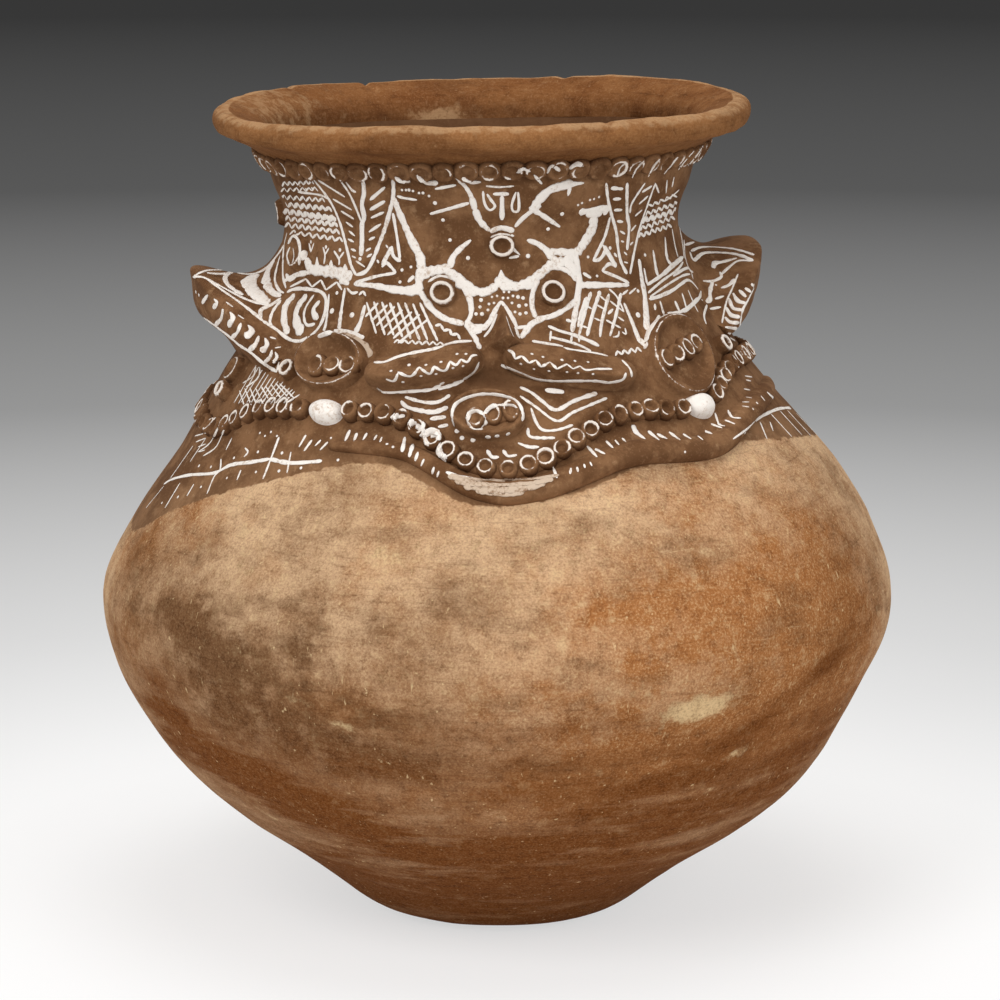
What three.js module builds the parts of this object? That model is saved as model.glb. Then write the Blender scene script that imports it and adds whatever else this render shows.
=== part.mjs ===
// Sago storage jar: a coil-built clay jar with a flaring lip, and a spirit face, ear lugs and
// finger-pressed chains of applied clay round its neck and shoulder.
// Millimetres, +Z up. The origin is the middle of the resting face and the spirit face looks
// along -Y. Left and right are as seen from the front.
import * as THREE from 'three';

// Outer outline of the wall, station by station from the resting face to the throat under the
// lip. A rise is the height gained above the station below, and the pull is how far the upper
// belly draws in from the widest station.
const BASE_RADIUS = 62;
const HEEL_RISE = 8;
const HEEL_RADIUS = 86;
const FOOT_RISE = 26;
const FOOT_RADIUS = 120;
const FLANK_RISE = 39;
const FLANK_RADIUS = 174;
const LOWER_BELLY_RISE = 46;
const LOWER_BELLY_RADIUS = 215;
const BELLY_RISE = 75;
const BELLY_RADIUS = 248;
const UPPER_BELLY_RISE = 60;
const UPPER_BELLY_PULL = 17;
const SHOULDER_RISE = 81;
const SHOULDER_RADIUS = 174;
const COLLAR_RISE = 40;
const COLLAR_RADIUS = 147;
const NAPE_RISE = 38;
const NAPE_RADIUS = 128.5;
const NECK_RISE = 34;
const NECK_RADIUS = 123;
const THROAT_RISE = 38;
const THROAT_RADIUS = 141.5;

// Wall, coil courses and lip
const WALL = 12;
const COURSES = 9;
const SLIPPED_COURSES = 4;
const CUP_REACH = 118;
const CUP_STEPS = [1, 0.8, 0.45, 0];
const LAP = 8;
const GAP = 0.4;
const LIP_FLARE = 24.5;
const LIP_RISE = 28.5;
const LIP_ROUND = 10;
const LIP_UNDERCUT = -60;
const LIP_ROLL = 110;

// Unevenness of the hand: sideways sway by height, and the tilt and wave of the rim
const SWAY = [[0, 0], [70, 3], [150, -2], [205, 0], [285, 4.5], [360, -4.5], [450, -9.5], [600, -10.5]];
const RIM_TILT = 3;
const RIM_WAVE = 1.4;
const RIM_WAVES = 3;
const RIM_WAVE_START = 40;

// Applied clay lies on a sheet wrapped round the wall: across is measured along the wall from
// the middle of the face, positive to the right, and drop down the wall from the throat.
const FACE_TURN = 5;

// Finger-scalloped fillet under the lip
const FILLET_DROP = 9;
const FILLET_WIDTH = 15;
const FILLET_HEIGHT = 5.5;
const FILLET_SCALLOPS = 56;
const SCALLOP_DEPTH = 0.4;
const FILLET_SECTION = [[-1, 0], [-0.8, 0.7], [0, 1], [0.7, 0.6], [1, 0], [-1, 0]];

// Hollow buttons of the eyes and forehead
const BUTTON_RADIUS = 8.2;
const BUTTON_RIM = 5.5;
const BUTTON_HOLLOW = 2;
const BUTTON_HOLLOW_SHARE = 0.4;
const BUTTON_CREST_SHARE = 0.72;
const LEFT_EYE_ACROSS = -34;
const RIGHT_EYE_ACROSS = 31.5;
const EYE_DROP = 79;
const FOREHEAD_ACROSS = 2.6;
const FOREHEAD_DROP = 51;

// Beak-like nose and the two leaf lobes that spread from it
const NOSE_DROP = 104;
const NOSE_BRIDGE = 21;
const NOSE_FOOT = 6;
const NOSE_HALF_WIDTH = 13;
const NOSE_HEIGHT = 17;
const NOSE_EDGE = 1.7;
const LEFT_LOBE_ACROSS = -47.5;
const RIGHT_LOBE_ACROSS = 38;
const LOBE_DROP = 128;
const LOBE_LENGTH = 74;
const LOBE_WIDTH = 27;
const LOBE_HEIGHT = 12;
const LOBE_EDGE = 4.8;
const LOBE_SQUARENESS = 6;
const LOBE_SLOPE = 14;

// Cheek saucers, the chin medallion and the finger-pressed strip that each one holds
const SAUCER_FLOOR = 4.5;
const SAUCER_RIM = 9;
const SAUCER_FLOOR_SHARE = 0.76;
const SAUCER_CREST_SHARE = 0.88;
const LEFT_CHEEK_ACROSS = -115.5;
const LEFT_CHEEK_DROP = 129;
const LEFT_CHEEK_WIDTH = 56;
const LEFT_CHEEK_LENGTH = 38;
const RIGHT_CHEEK_ACROSS = 118;
const RIGHT_CHEEK_DROP = 127;
const RIGHT_CHEEK_WIDTH = 51;
const RIGHT_CHEEK_LENGTH = 50;
const CHIN_ACROSS = -16.5;
const CHIN_DROP = 158;
const CHIN_WIDTH = 45;
const CHIN_LENGTH = 32;
const STRIP_HEIGHT = 6;
const STRIP_SLOPE = 9;
const STRIP_REACH = 0.6;
const STRIP_BREADTH = 0.4;
const LEFT_STRIP_DIMPLES = 3;
const RIGHT_STRIP_DIMPLES = 4;
const CHIN_STRIP_DIMPLES = 3;

// Round pellets and small saucers at the temples, sides and neck
const TEMPLE_RADIUS = 6.6;
const TEMPLE_RIM = 7;
const LEFT_TEMPLE_ACROSS = -152;
const RIGHT_TEMPLE_ACROSS = 172;
const LEFT_TEMPLE_DROP = 135;
const RIGHT_TEMPLE_DROP = 128;
const SMALL_SAUCER_FLOOR = 2;
const SMALL_SAUCER_RIM = 4.5;
const NECK_SAUCER_RADIUS = 12.5;
const NECK_SAUCER_ACROSS = -151;
const NECK_SAUCER_DROP = 64;
const UPPER_SAUCER_RADIUS = 9.5;
const UPPER_SAUCER_ACROSS = -196;
const UPPER_SAUCER_DROP = 45;
const SIDE_SAUCER_RADIUS = 9.5;
const SIDE_SAUCER_ACROSS = -224;
const SIDE_SAUCER_DROP = 149;
const SIDE_PELLET_ACROSS = -234;
const SIDE_PELLET_DROP = 166;

// Ear lugs at the sides of the neck. The section, in shares of its rise up the wall and its height
// off it, is a hollow upper face above a thick front edge.
const EAR_REACH = 67;
const EAR_DROOP = 36;
const EAR_RISE = 37;
const EAR_HEIGHT = 50;
const EAR_SECTION = [[-1.08, 0], [0, 0], [1, 0], [0.4, 0.2], [0.12, 0.5], [0.1, 0.82], [-0.14, 0.97], [-0.78, 0.72]];
const EAR_TAPER = 0.2;
const EAR_BLUNTNESS = 0.9;
const EAR_SEAT = 0.6;
const LEFT_EAR_ACROSS = -214;
const LEFT_EAR_DROP = 98;
const RIGHT_EAR_ACROSS = 232;
const RIGHT_EAR_DROP = 83;

// Chain of finger-pressed beads, its two lime pellets, and the ledge that hangs below it
const CHAIN_WIDTH = 11;
const CHAIN_HEIGHT = 6.5;
const BEAD_PITCH = 11;
const BEAD_CREST = 0.75;
const BEAD_DIMPLE = 0.65;
const BEAD_PINCH = 0.3;
const CHAIN_SIDE_DROP = 161;
const CHAIN_SWAG_DROP = 190;
const CHAIN_SWAG_LEFT = -30;
const CHAIN_SWAG_RIGHT = 3;
const CHAIN_RISE_LEFT = -70;
const CHAIN_RISE_RIGHT = 61;
const CHAIN_LEFT_TURN = -172;
const CHAIN_LEFT_TURN_DROP = 166;
const CHAIN_LEFT_END = -238;
const CHAIN_LEFT_DROP = 188;
const CHAIN_RIGHT_TURN = 176;
const CHAIN_RIGHT_END = 250;
const CHAIN_RIGHT_DROP = 147;
const LIME_PELLET_WIDTH = 25;
const LIME_PELLET_LENGTH = 17;
const LIME_PELLET_HEIGHT = 8;
const LIME_PELLET_EDGE = 1.6;
const LEFT_LIME_ACROSS = -119;
const RIGHT_LIME_ACROSS = 124;
const LEDGE_WIDTH = 16;
const LEDGE_HEIGHT = 8;
const LEDGE_LEFT_BELOW = 21;
const LEDGE_SWAG_BELOW = 15;
const LEDGE_SIDE_BELOW = 25;
const LEDGE_RIGHT_BELOW = 23;
const LEDGE_CREST = -0.1;
const LEDGE_BROW = -0.85;
const LEDGE_BROW_RISE = 0.7;
const LEDGE_SKIRT = 0.7;
const LEDGE_SKIRT_RISE = 0.6;
const LEDGE_TAPER = 0.35;
const LEDGE_BLUNTNESS = 0.6;
const LEDGE_END_ACROSS = 252;
const LEDGE_END_BELOW = 17;

// Facets
const WALL_SECTORS = 36;
const COURSE_STEPS = 2;
const SLIPPED_COURSE_STEPS = 5;
const LIP_STEPS = 3;
const OUTLINE_DIVISIONS = 600;
const OVAL_SECTORS = 18;
const BUTTON_SECTORS = 12;
const LOBE_SECTORS = 24;
const EAR_STATIONS = [-1, -0.5, 0, 0.5, 1];
const EAR_STEPS = 20;
const LEDGE_STEPS = 42;
const PAT_RINGS = 3;
const CHAIN_DIVISIONS = 40;
const BACK_STATIONS = 8;

const CLAY = new THREE.MeshStandardMaterial({ color: 0xa07a50, roughness: 0.95, metalness: 0 });
const SLIP = new THREE.MeshStandardMaterial({ color: 0x51391f, roughness: 0.9, metalness: 0 });
const LIME = new THREE.MeshStandardMaterial({ color: 0xe3d9cc, roughness: 1, metalness: 0 });

const outline = wallOutline();
const jar = new THREE.Group();
jar.name = 'sago_storage_jar';

// The wall's outer outline as one smooth curve of radius and height.
function wallOutline() {
  const stations = [
    [0, BASE_RADIUS],
    [HEEL_RISE, HEEL_RADIUS],
    [FOOT_RISE, FOOT_RADIUS],
    [FLANK_RISE, FLANK_RADIUS],
    [LOWER_BELLY_RISE, LOWER_BELLY_RADIUS],
    [BELLY_RISE, BELLY_RADIUS],
    [UPPER_BELLY_RISE, BELLY_RADIUS - UPPER_BELLY_PULL],
    [SHOULDER_RISE, SHOULDER_RADIUS],
    [COLLAR_RISE, COLLAR_RADIUS],
    [NAPE_RISE, NAPE_RADIUS],
    [NECK_RISE, NECK_RADIUS],
    [THROAT_RISE, THROAT_RADIUS],
  ];
  let height = 0;
  const points = stations.map(([rise, radius]) => {
    height += rise;
    return new THREE.Vector2(radius, height);
  });
  const curve = new THREE.SplineCurve(points);
  curve.arcLengthDivisions = OUTLINE_DIVISIONS;
  return curve;
}

// A point of the outline by its distance down the wall from the throat, lifted off the wall.
function wallPoint(drop, lift) {
  const share = 1 - drop / outline.getLength();
  const point = outline.getPointAt(share);
  const along = outline.getTangentAt(share);
  return new THREE.Vector2(point.x + along.y * lift, point.y - along.x * lift);
}

function wallRadius(drop) {
  return wallPoint(drop, 0).x;
}

// Moves every vertex of a geometry by a function that changes a vector in place.
function reshape(geometry, change) {
  const position = geometry.attributes.position;
  const vertex = new THREE.Vector3();
  for (let i = 0; i < position.count; i++) {
    vertex.fromBufferAttribute(position, i);
    change(vertex);
    position.setXYZ(i, vertex.x, vertex.y, vertex.z);
  }
  return geometry;
}

// Sways a vertex sideways and waves the rim, as the potter's hands left them.
function unevenHand(vertex) {
  const above = Math.max(1, SWAY.findIndex(([height]) => height > vertex.z));
  const [lowHeight, lowShift] = SWAY[above - 1];
  const [highHeight, highShift] = SWAY[above];
  const climb = THREE.MathUtils.smoothstep(vertex.z, lowHeight, highHeight);
  const angle = Math.atan2(vertex.x, -vertex.y);
  const throat = wallPoint(0, 0).y;
  const near = THREE.MathUtils.smoothstep(vertex.z, throat - RIM_WAVE_START, throat);
  vertex.z += near * (RIM_TILT * Math.sin(angle) + RIM_WAVE * Math.cos(RIM_WAVES * angle));
  vertex.x += THREE.MathUtils.lerp(lowShift, highShift, climb);
}

// Adds one piece of the jar.
function piece(name, geometry, material) {
  const mesh = new THREE.Mesh(reshape(geometry, unevenHand), material);
  mesh.name = name;
  jar.add(mesh);
}

// Turns a closed profile of radius and height round the jar's axis, from the front.
function revolve(profile, sectors) {
  return new THREE.LatheGeometry(profile, sectors).rotateX(Math.PI / 2);
}

// Sets a vertex on the wall by its turn from the middle of the face, its drop and its lift.
function onWall(vertex, turn, drop, lift) {
  const point = wallPoint(drop, lift);
  const angle = turn + THREE.MathUtils.degToRad(FACE_TURN);
  vertex.set(point.x * Math.sin(angle), -point.x * Math.cos(angle), point.y);
}

// Wraps a flat piece (x across, y up, z off the sheet) round the wall at a place on the sheet.
function layOnWall(geometry, across, drop, lift = GAP) {
  return reshape(geometry, (vertex) => {
    const down = drop - vertex.y;
    const turn = across / wallRadius(drop) + vertex.x / wallRadius(down);
    onWall(vertex, turn, down, lift + vertex.z);
  });
}

// A flat-backed pat of clay. Its face is a list of [share of the way out, height], and reach
// gives the distance from its middle to its edge by direction.
function pat(face, reach, sectors) {
  const back = face.map(([share]) => new THREE.Vector2(share, 0));
  const front = face.map(([share, height]) => new THREE.Vector2(share, height)).reverse();
  return reshape(revolve([...back, ...front], sectors), (vertex) => {
    const direction = Math.atan2(vertex.y, vertex.x);
    const stretch = reach(direction);
    vertex.x *= stretch;
    vertex.y *= stretch;
  });
}

// Edge of an oval of a full width and length, by direction.
function oval(width, length) {
  return (direction) => 1 / Math.hypot(2 * Math.cos(direction) / width, 2 * Math.sin(direction) / length);
}

// Edge of a lens with points at both ends and two bowed sides, by direction.
function lens(length, up, down) {
  return (direction) => {
    const rise = Math.abs(Math.sin(direction));
    const bow = Math.sin(direction) > 0 ? up : down;
    const pull = bow * (2 * Math.cos(direction) / length) ** 2;
    const spread = Math.sqrt(rise * rise + 4 * pull * bow);
    return 2 * bow / (rise + spread);
  };
}

// Edge of a kite with its four corners on the axes, by direction.
function kite(halfWidth, up, down) {
  return (direction) => {
    const tall = Math.sin(direction) > 0 ? up : down;
    return 1 / (Math.abs(Math.cos(direction)) / halfWidth + Math.abs(Math.sin(direction)) / tall);
  };
}

// Faces of the pats: a hollow button, and a saucer with a raised rim
function buttonFace(rim) {
  const hollow = BUTTON_HOLLOW;
  return [[0, hollow], [BUTTON_HOLLOW_SHARE, hollow], [BUTTON_CREST_SHARE, rim], [1, hollow]];
}

function saucerFace(floor, rim) {
  const shares = [0, SAUCER_FLOOR_SHARE / 2, SAUCER_FLOOR_SHARE];
  return [...shares.map((share) => [share, floor]), [SAUCER_CREST_SHARE, rim], [1, floor]];
}

// A face that falls from its middle to its edge by a function of the share of the way out.
function fallingFace(height, edge, rings, fall) {
  const shares = Array.from({ length: rings + 1 }, (unused, i) => i / rings);
  return shares.map((share) => [share, edge + (height - edge) * fall(share)]);
}

const cone = (share) => 1 - share;
const dome = (share) => Math.sqrt(1 - share * share);
const mesa = (share) => 1 - share ** LOBE_SQUARENESS;

// Swell of a strip that is small at both ends and full in the middle.
function bulge(share, taper, bluntness) {
  return taper + (1 - taper) * Math.max(0, Math.sin(Math.PI * share)) ** bluntness;
}

// A path on the wall through places of across and drop, on a sheet of the chain's own radius.
function wallPath(places) {
  const sheet = wallRadius(CHAIN_SIDE_DROP);
  return new THREE.SplineCurve(
    places.map(([across, drop]) => new THREE.Vector2(sheet * across / wallRadius(drop), -drop)),
  );
}

// A strip of clay pressed on along the stretch of a path between two shares of its length. The
// section gives places across the strip and heights, and swell scales both along the strip.
function strip(path, from, to, section, steps, swell, lift = GAP) {
  const sheet = wallRadius(CHAIN_SIDE_DROP);
  const shape = new THREE.Shape(section.map(([x, y]) => new THREE.Vector2(x, y)));
  const blank = new THREE.ExtrudeGeometry(shape, { depth: 1, steps, bevelEnabled: false });
  return reshape(blank, (vertex) => {
    const share = THREE.MathUtils.lerp(from, to, vertex.z);
    const middle = path.getPointAt(share);
    const along = path.getTangentAt(share);
    const size = swell(vertex.z);
    const down = -middle.y - along.x * vertex.x * size;
    const turn = middle.x / sheet - along.y * vertex.x * size / wallRadius(down);
    onWall(vertex, turn, down, lift + vertex.y * size);
  });
}

// A strip pressed into beads by a finger: grooved along its crest and narrow between two beads.
function beadStrip(path, from, to, width, height, beads, lift = GAP) {
  const half = width / 2;
  const crest = BEAD_CREST * half;
  const section = [[-half, 0], [half, 0], [crest, height], [0, BEAD_DIMPLE * height], [-crest, height]];
  const pinch = (share) => 1 - BEAD_PINCH * (1 + Math.cos(2 * Math.PI * beads * share)) / 2;
  return strip(path, from, to, section, 2 * beads, pinch, lift);
}

function buildWall() {
  const span = outline.getLength();
  const joint = (i) => (span - CUP_REACH) * (1 - i / COURSES);
  const lap = (i) => (i === COURSES ? 0 : LAP);
  const inside = (drop) => wallPoint(drop, -WALL);
  const outside = (drop) => wallPoint(drop, 0);

  const cupTop = joint(0) + GAP / 2;
  const cup = [new THREE.Vector2(0, 0)];
  CUP_STEPS.forEach((share) => cup.push(outside(cupTop + (span - cupTop) * share)));
  const cupInside = cupTop - LAP;
  CUP_STEPS.toReversed().forEach((share) => cup.push(inside(cupInside + (span - cupInside) * share)));
  cup.push(new THREE.Vector2(0, WALL));
  piece('base_cup', revolve(cup, WALL_SECTORS), CLAY);

  for (let i = 0; i < COURSES; i++) {
    const slipped = i >= COURSES - SLIPPED_COURSES;
    const outerSteps = slipped ? SLIPPED_COURSE_STEPS : COURSE_STEPS;
    const bottom = joint(i) - GAP / 2;
    const top = joint(i + 1) + GAP / 2;
    const profile = [];
    for (let k = 0; k <= outerSteps; k++) {
      profile.push(outside(THREE.MathUtils.lerp(bottom, top, k / outerSteps)));
    }
    for (let k = COURSE_STEPS; k >= 0; k--) {
      profile.push(inside(THREE.MathUtils.lerp(bottom - lap(i), top - lap(i + 1), k / COURSE_STEPS)));
    }
    profile.push(profile[0].clone());
    piece(`coil_course_${i + 1}`, revolve(profile, WALL_SECTORS), slipped ? SLIP : CLAY);
  }
}

function buildRim() {
  const seam = outline.getTangentAt(1).multiplyScalar(GAP);
  const outer = wallPoint(0, 0).add(seam);
  const inner = wallPoint(0, -WALL).add(seam);
  const from = THREE.MathUtils.degToRad(LIP_UNDERCUT);
  const to = THREE.MathUtils.degToRad(LIP_ROLL);
  const lip = new THREE.Path();
  lip.moveTo(inner.x, inner.y);
  lip.lineTo(outer.x, outer.y);
  lip.absarc(outer.x + LIP_FLARE - LIP_ROUND, outer.y + LIP_RISE - LIP_ROUND, LIP_ROUND, from, to, false);
  lip.lineTo(inner.x, inner.y);
  piece('rim_lip', revolve(lip.getPoints(LIP_STEPS), WALL_SECTORS), CLAY);

  const half = FILLET_WIDTH / 2;
  const blank = FILLET_SECTION.map(([up, rise]) => new THREE.Vector2(1 + rise, half * up));
  const fillet = reshape(revolve(blank, 2 * FILLET_SCALLOPS), (vertex) => {
    const turn = Math.atan2(vertex.x, -vertex.y);
    const rise = Math.hypot(vertex.x, vertex.y) - 1;
    const height = FILLET_HEIGHT * (1 - SCALLOP_DEPTH * (1 + Math.cos(FILLET_SCALLOPS * turn)) / 2);
    const point = wallPoint(FILLET_DROP - vertex.z, GAP + rise * height);
    vertex.set(point.x * Math.sin(turn), -point.x * Math.cos(turn), point.y);
  });
  piece('rim_fillet', fillet, SLIP);
}

function button(name, across, drop, radius, rim) {
  piece(name, layOnWall(pat(buttonFace(rim), () => radius, BUTTON_SECTORS), across, drop), SLIP);
}

function buildFace() {
  button('forehead_button', FOREHEAD_ACROSS, FOREHEAD_DROP, BUTTON_RADIUS, BUTTON_RIM);
  button('eye_button_left', LEFT_EYE_ACROSS, EYE_DROP, BUTTON_RADIUS, BUTTON_RIM);
  button('eye_button_right', RIGHT_EYE_ACROSS, EYE_DROP, BUTTON_RADIUS, BUTTON_RIM);

  const bridge = fallingFace(NOSE_HEIGHT, NOSE_EDGE, PAT_RINGS, cone);
  const nose = pat(bridge, kite(NOSE_HALF_WIDTH, NOSE_BRIDGE, NOSE_FOOT), BUTTON_SECTORS);
  piece('nose_beak', layOnWall(nose, 0, NOSE_DROP), SLIP);

  for (const [side, across] of [['left', LEFT_LOBE_ACROSS], ['right', RIGHT_LOBE_ACROSS]]) {
    const face = fallingFace(LOBE_HEIGHT, LOBE_EDGE, PAT_RINGS, mesa);
    const lobe = pat(face, lens(LOBE_LENGTH, LOBE_WIDTH / 2, LOBE_WIDTH / 2), LOBE_SECTORS);
    lobe.rotateZ(-Math.sign(across) * THREE.MathUtils.degToRad(LOBE_SLOPE));
    piece(`mouth_lobe_${side}`, layOnWall(lobe, across, LOBE_DROP), SLIP);
  }
}

// A saucer with a finger-pressed strip lying across its floor.
function saucerWithStrip(names, across, drop, width, length, dimples) {
  const saucer = pat(saucerFace(SAUCER_FLOOR, SAUCER_RIM), oval(width, length), OVAL_SECTORS);
  piece(names[0], layOnWall(saucer, across, drop), SLIP);
  const half = STRIP_REACH * width / 2;
  const climb = half * Math.tan(THREE.MathUtils.degToRad(STRIP_SLOPE));
  const path = wallPath([[across - half, drop + climb], [across + half, drop - climb]]);
  const lift = SAUCER_FLOOR + 2 * GAP;
  piece(names[1], beadStrip(path, 0, 1, STRIP_BREADTH * length, STRIP_HEIGHT, dimples, lift), SLIP);
}

function buildSaucers() {
  saucerWithStrip(
    ['cheek_saucer_left', 'cheek_strip_left'],
    LEFT_CHEEK_ACROSS, LEFT_CHEEK_DROP, LEFT_CHEEK_WIDTH, LEFT_CHEEK_LENGTH, LEFT_STRIP_DIMPLES,
  );
  saucerWithStrip(
    ['cheek_saucer_right', 'cheek_strip_right'],
    RIGHT_CHEEK_ACROSS, RIGHT_CHEEK_DROP, RIGHT_CHEEK_WIDTH, RIGHT_CHEEK_LENGTH, RIGHT_STRIP_DIMPLES,
  );
  saucerWithStrip(
    ['chin_medallion', 'chin_strip'],
    CHIN_ACROSS, CHIN_DROP, CHIN_WIDTH, CHIN_LENGTH, CHIN_STRIP_DIMPLES,
  );

  button('temple_pellet_left', LEFT_TEMPLE_ACROSS, LEFT_TEMPLE_DROP, TEMPLE_RADIUS, TEMPLE_RIM);
  button('temple_pellet_right', RIGHT_TEMPLE_ACROSS, RIGHT_TEMPLE_DROP, TEMPLE_RADIUS, TEMPLE_RIM);
  button('side_pellet', SIDE_PELLET_ACROSS, SIDE_PELLET_DROP, TEMPLE_RADIUS, TEMPLE_RIM);
  const saucers = [
    ['neck_saucer', NECK_SAUCER_RADIUS, NECK_SAUCER_ACROSS, NECK_SAUCER_DROP],
    ['upper_saucer', UPPER_SAUCER_RADIUS, UPPER_SAUCER_ACROSS, UPPER_SAUCER_DROP],
    ['side_saucer', SIDE_SAUCER_RADIUS, SIDE_SAUCER_ACROSS, SIDE_SAUCER_DROP],
  ];
  for (const [name, radius, across, drop] of saucers) {
    const face = saucerFace(SMALL_SAUCER_FLOOR, SMALL_SAUCER_RIM);
    const saucer = pat(face, () => radius, BUTTON_SECTORS);
    piece(name, layOnWall(saucer, across, drop), SLIP);
  }
}

// A lug swept along an arched line on the wall, from a low end up to its tip and down again.
function ear(name, across, drop) {
  const middle = across / wallRadius(drop);
  const places = EAR_STATIONS.map((share) => {
    const down = drop + EAR_DROOP * share * share;
    return [(middle + share * EAR_REACH / wallRadius(drop)) * wallRadius(down), down];
  });
  const section = EAR_SECTION.map(([rise, height]) => [rise * EAR_RISE, height * EAR_HEIGHT]);
  const swell = (share) => bulge(share, EAR_TAPER, EAR_BLUNTNESS);
  piece(name, strip(wallPath(places), 0, 1, section, EAR_STEPS, swell, EAR_SEAT), SLIP);
}

// The chain runs all round the shoulder. The two lime pellets, and a join behind each ear, part
// it into four runs.
function buildChain() {
  const places = [
    [LEFT_LIME_ACROSS, CHAIN_SIDE_DROP],
    [CHAIN_RISE_LEFT, CHAIN_SIDE_DROP],
    [CHAIN_SWAG_LEFT, CHAIN_SWAG_DROP],
    [CHAIN_SWAG_RIGHT, CHAIN_SWAG_DROP],
    [CHAIN_RISE_RIGHT, CHAIN_SIDE_DROP],
    [RIGHT_LIME_ACROSS, CHAIN_SIDE_DROP],
    [CHAIN_RIGHT_TURN, CHAIN_RIGHT_DROP],
    [CHAIN_RIGHT_END, CHAIN_RIGHT_DROP],
  ];
  const round = (across, drop) => across + 2 * Math.PI * wallRadius(drop);
  const start = CHAIN_RIGHT_END / wallRadius(CHAIN_RIGHT_DROP);
  const finish = round(CHAIN_LEFT_END, CHAIN_LEFT_DROP) / wallRadius(CHAIN_LEFT_DROP);
  for (let i = 1; i < BACK_STATIONS; i++) {
    const drop = THREE.MathUtils.lerp(CHAIN_RIGHT_DROP, CHAIN_LEFT_DROP, i / BACK_STATIONS);
    places.push([THREE.MathUtils.lerp(start, finish, i / BACK_STATIONS) * wallRadius(drop), drop]);
  }
  const back = [
    [round(CHAIN_LEFT_END, CHAIN_LEFT_DROP), CHAIN_LEFT_DROP],
    [round(CHAIN_LEFT_TURN, CHAIN_LEFT_TURN_DROP), CHAIN_LEFT_TURN_DROP],
    [round(LEFT_LIME_ACROSS, CHAIN_SIDE_DROP), CHAIN_SIDE_DROP],
  ];
  const path = wallPath([...places, ...back]);
  const joins = places.length + back.length - 1;
  const lengths = path.getLengths(CHAIN_DIVISIONS * joins);
  const share = (i) => lengths[CHAIN_DIVISIONS * i] / lengths.at(-1);
  const pelletHalf = (LIME_PELLET_WIDTH / 2 + GAP) / lengths.at(-1);
  const joinHalf = GAP / lengths.at(-1);
  const runs = [
    ['chain_front', share(0) + pelletHalf, share(5) - pelletHalf],
    ['chain_right', share(5) + pelletHalf, share(7) - joinHalf],
    ['chain_back', share(7) + joinHalf, share(joins - 2) - joinHalf],
    ['chain_left', share(joins - 2) + joinHalf, share(joins) - pelletHalf],
  ];
  for (const [name, from, to] of runs) {
    const beads = Math.round((to - from) * lengths.at(-1) / BEAD_PITCH);
    piece(name, beadStrip(path, from, to, CHAIN_WIDTH, CHAIN_HEIGHT, beads), SLIP);
  }
  for (const [side, across] of [['left', LEFT_LIME_ACROSS], ['right', RIGHT_LIME_ACROSS]]) {
    const reach = oval(LIME_PELLET_WIDTH, LIME_PELLET_LENGTH);
    const face = fallingFace(LIME_PELLET_HEIGHT, LIME_PELLET_EDGE, PAT_RINGS, dome);
    const pellet = pat(face, reach, OVAL_SECTORS);
    piece(`lime_pellet_${side}`, layOnWall(pellet, across, CHAIN_SIDE_DROP), LIME);
  }
  buildLedge();
}

// The ledge follows the front of the chain, and runs on round the right side until it dies out.
function buildLedge() {
  const left = CHAIN_SIDE_DROP + LEDGE_LEFT_BELOW;
  const side = CHAIN_SIDE_DROP + LEDGE_SIDE_BELOW;
  const swag = CHAIN_SWAG_DROP + LEDGE_SWAG_BELOW;
  const path = wallPath([
    [LEFT_LIME_ACROSS, left],
    [CHAIN_RISE_LEFT, left],
    [CHAIN_SWAG_LEFT, swag],
    [CHAIN_SWAG_RIGHT, swag],
    [CHAIN_RISE_RIGHT, side],
    [RIGHT_LIME_ACROSS, side],
    [CHAIN_RIGHT_TURN, CHAIN_RIGHT_DROP + LEDGE_RIGHT_BELOW],
    [LEDGE_END_ACROSS, CHAIN_RIGHT_DROP + LEDGE_END_BELOW],
  ]);
  const half = LEDGE_WIDTH / 2;
  const section = [
    [-half, 0],
    [half, 0],
    [LEDGE_SKIRT * half, LEDGE_SKIRT_RISE * LEDGE_HEIGHT],
    [LEDGE_CREST * half, LEDGE_HEIGHT],
    [LEDGE_BROW * half, LEDGE_BROW_RISE * LEDGE_HEIGHT],
  ];
  const swell = (share) => bulge(share, LEDGE_TAPER, LEDGE_BLUNTNESS);
  piece('shoulder_ledge', strip(path, 0, 1, section, LEDGE_STEPS, swell), SLIP);
}

buildWall();
buildRim();
buildFace();
buildSaucers();
ear('ear_lug_left', LEFT_EAR_ACROSS, LEFT_EAR_DROP);
ear('ear_lug_right', RIGHT_EAR_ACROSS, RIGHT_EAR_DROP);
buildChain();

export default jar;
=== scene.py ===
"""Sago storage jar: the looks of a coil-built clay jar with an applied spirit face.

Metres, +Z up. The jar stands on the origin and its face looks along -Y. Left and right are as
seen from the front. Sizes in the classes are millimetres, and places given in pixels are those
at which a mark is seen from the front.
"""

from __future__ import annotations

import logging
import math
from collections.abc import Callable, Sequence
from dataclasses import dataclass, field
from enum import Enum
from functools import cached_property, reduce

import bpy
import numpy as np
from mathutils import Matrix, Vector
from mathutils.bvhtree import BVHTree


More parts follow.
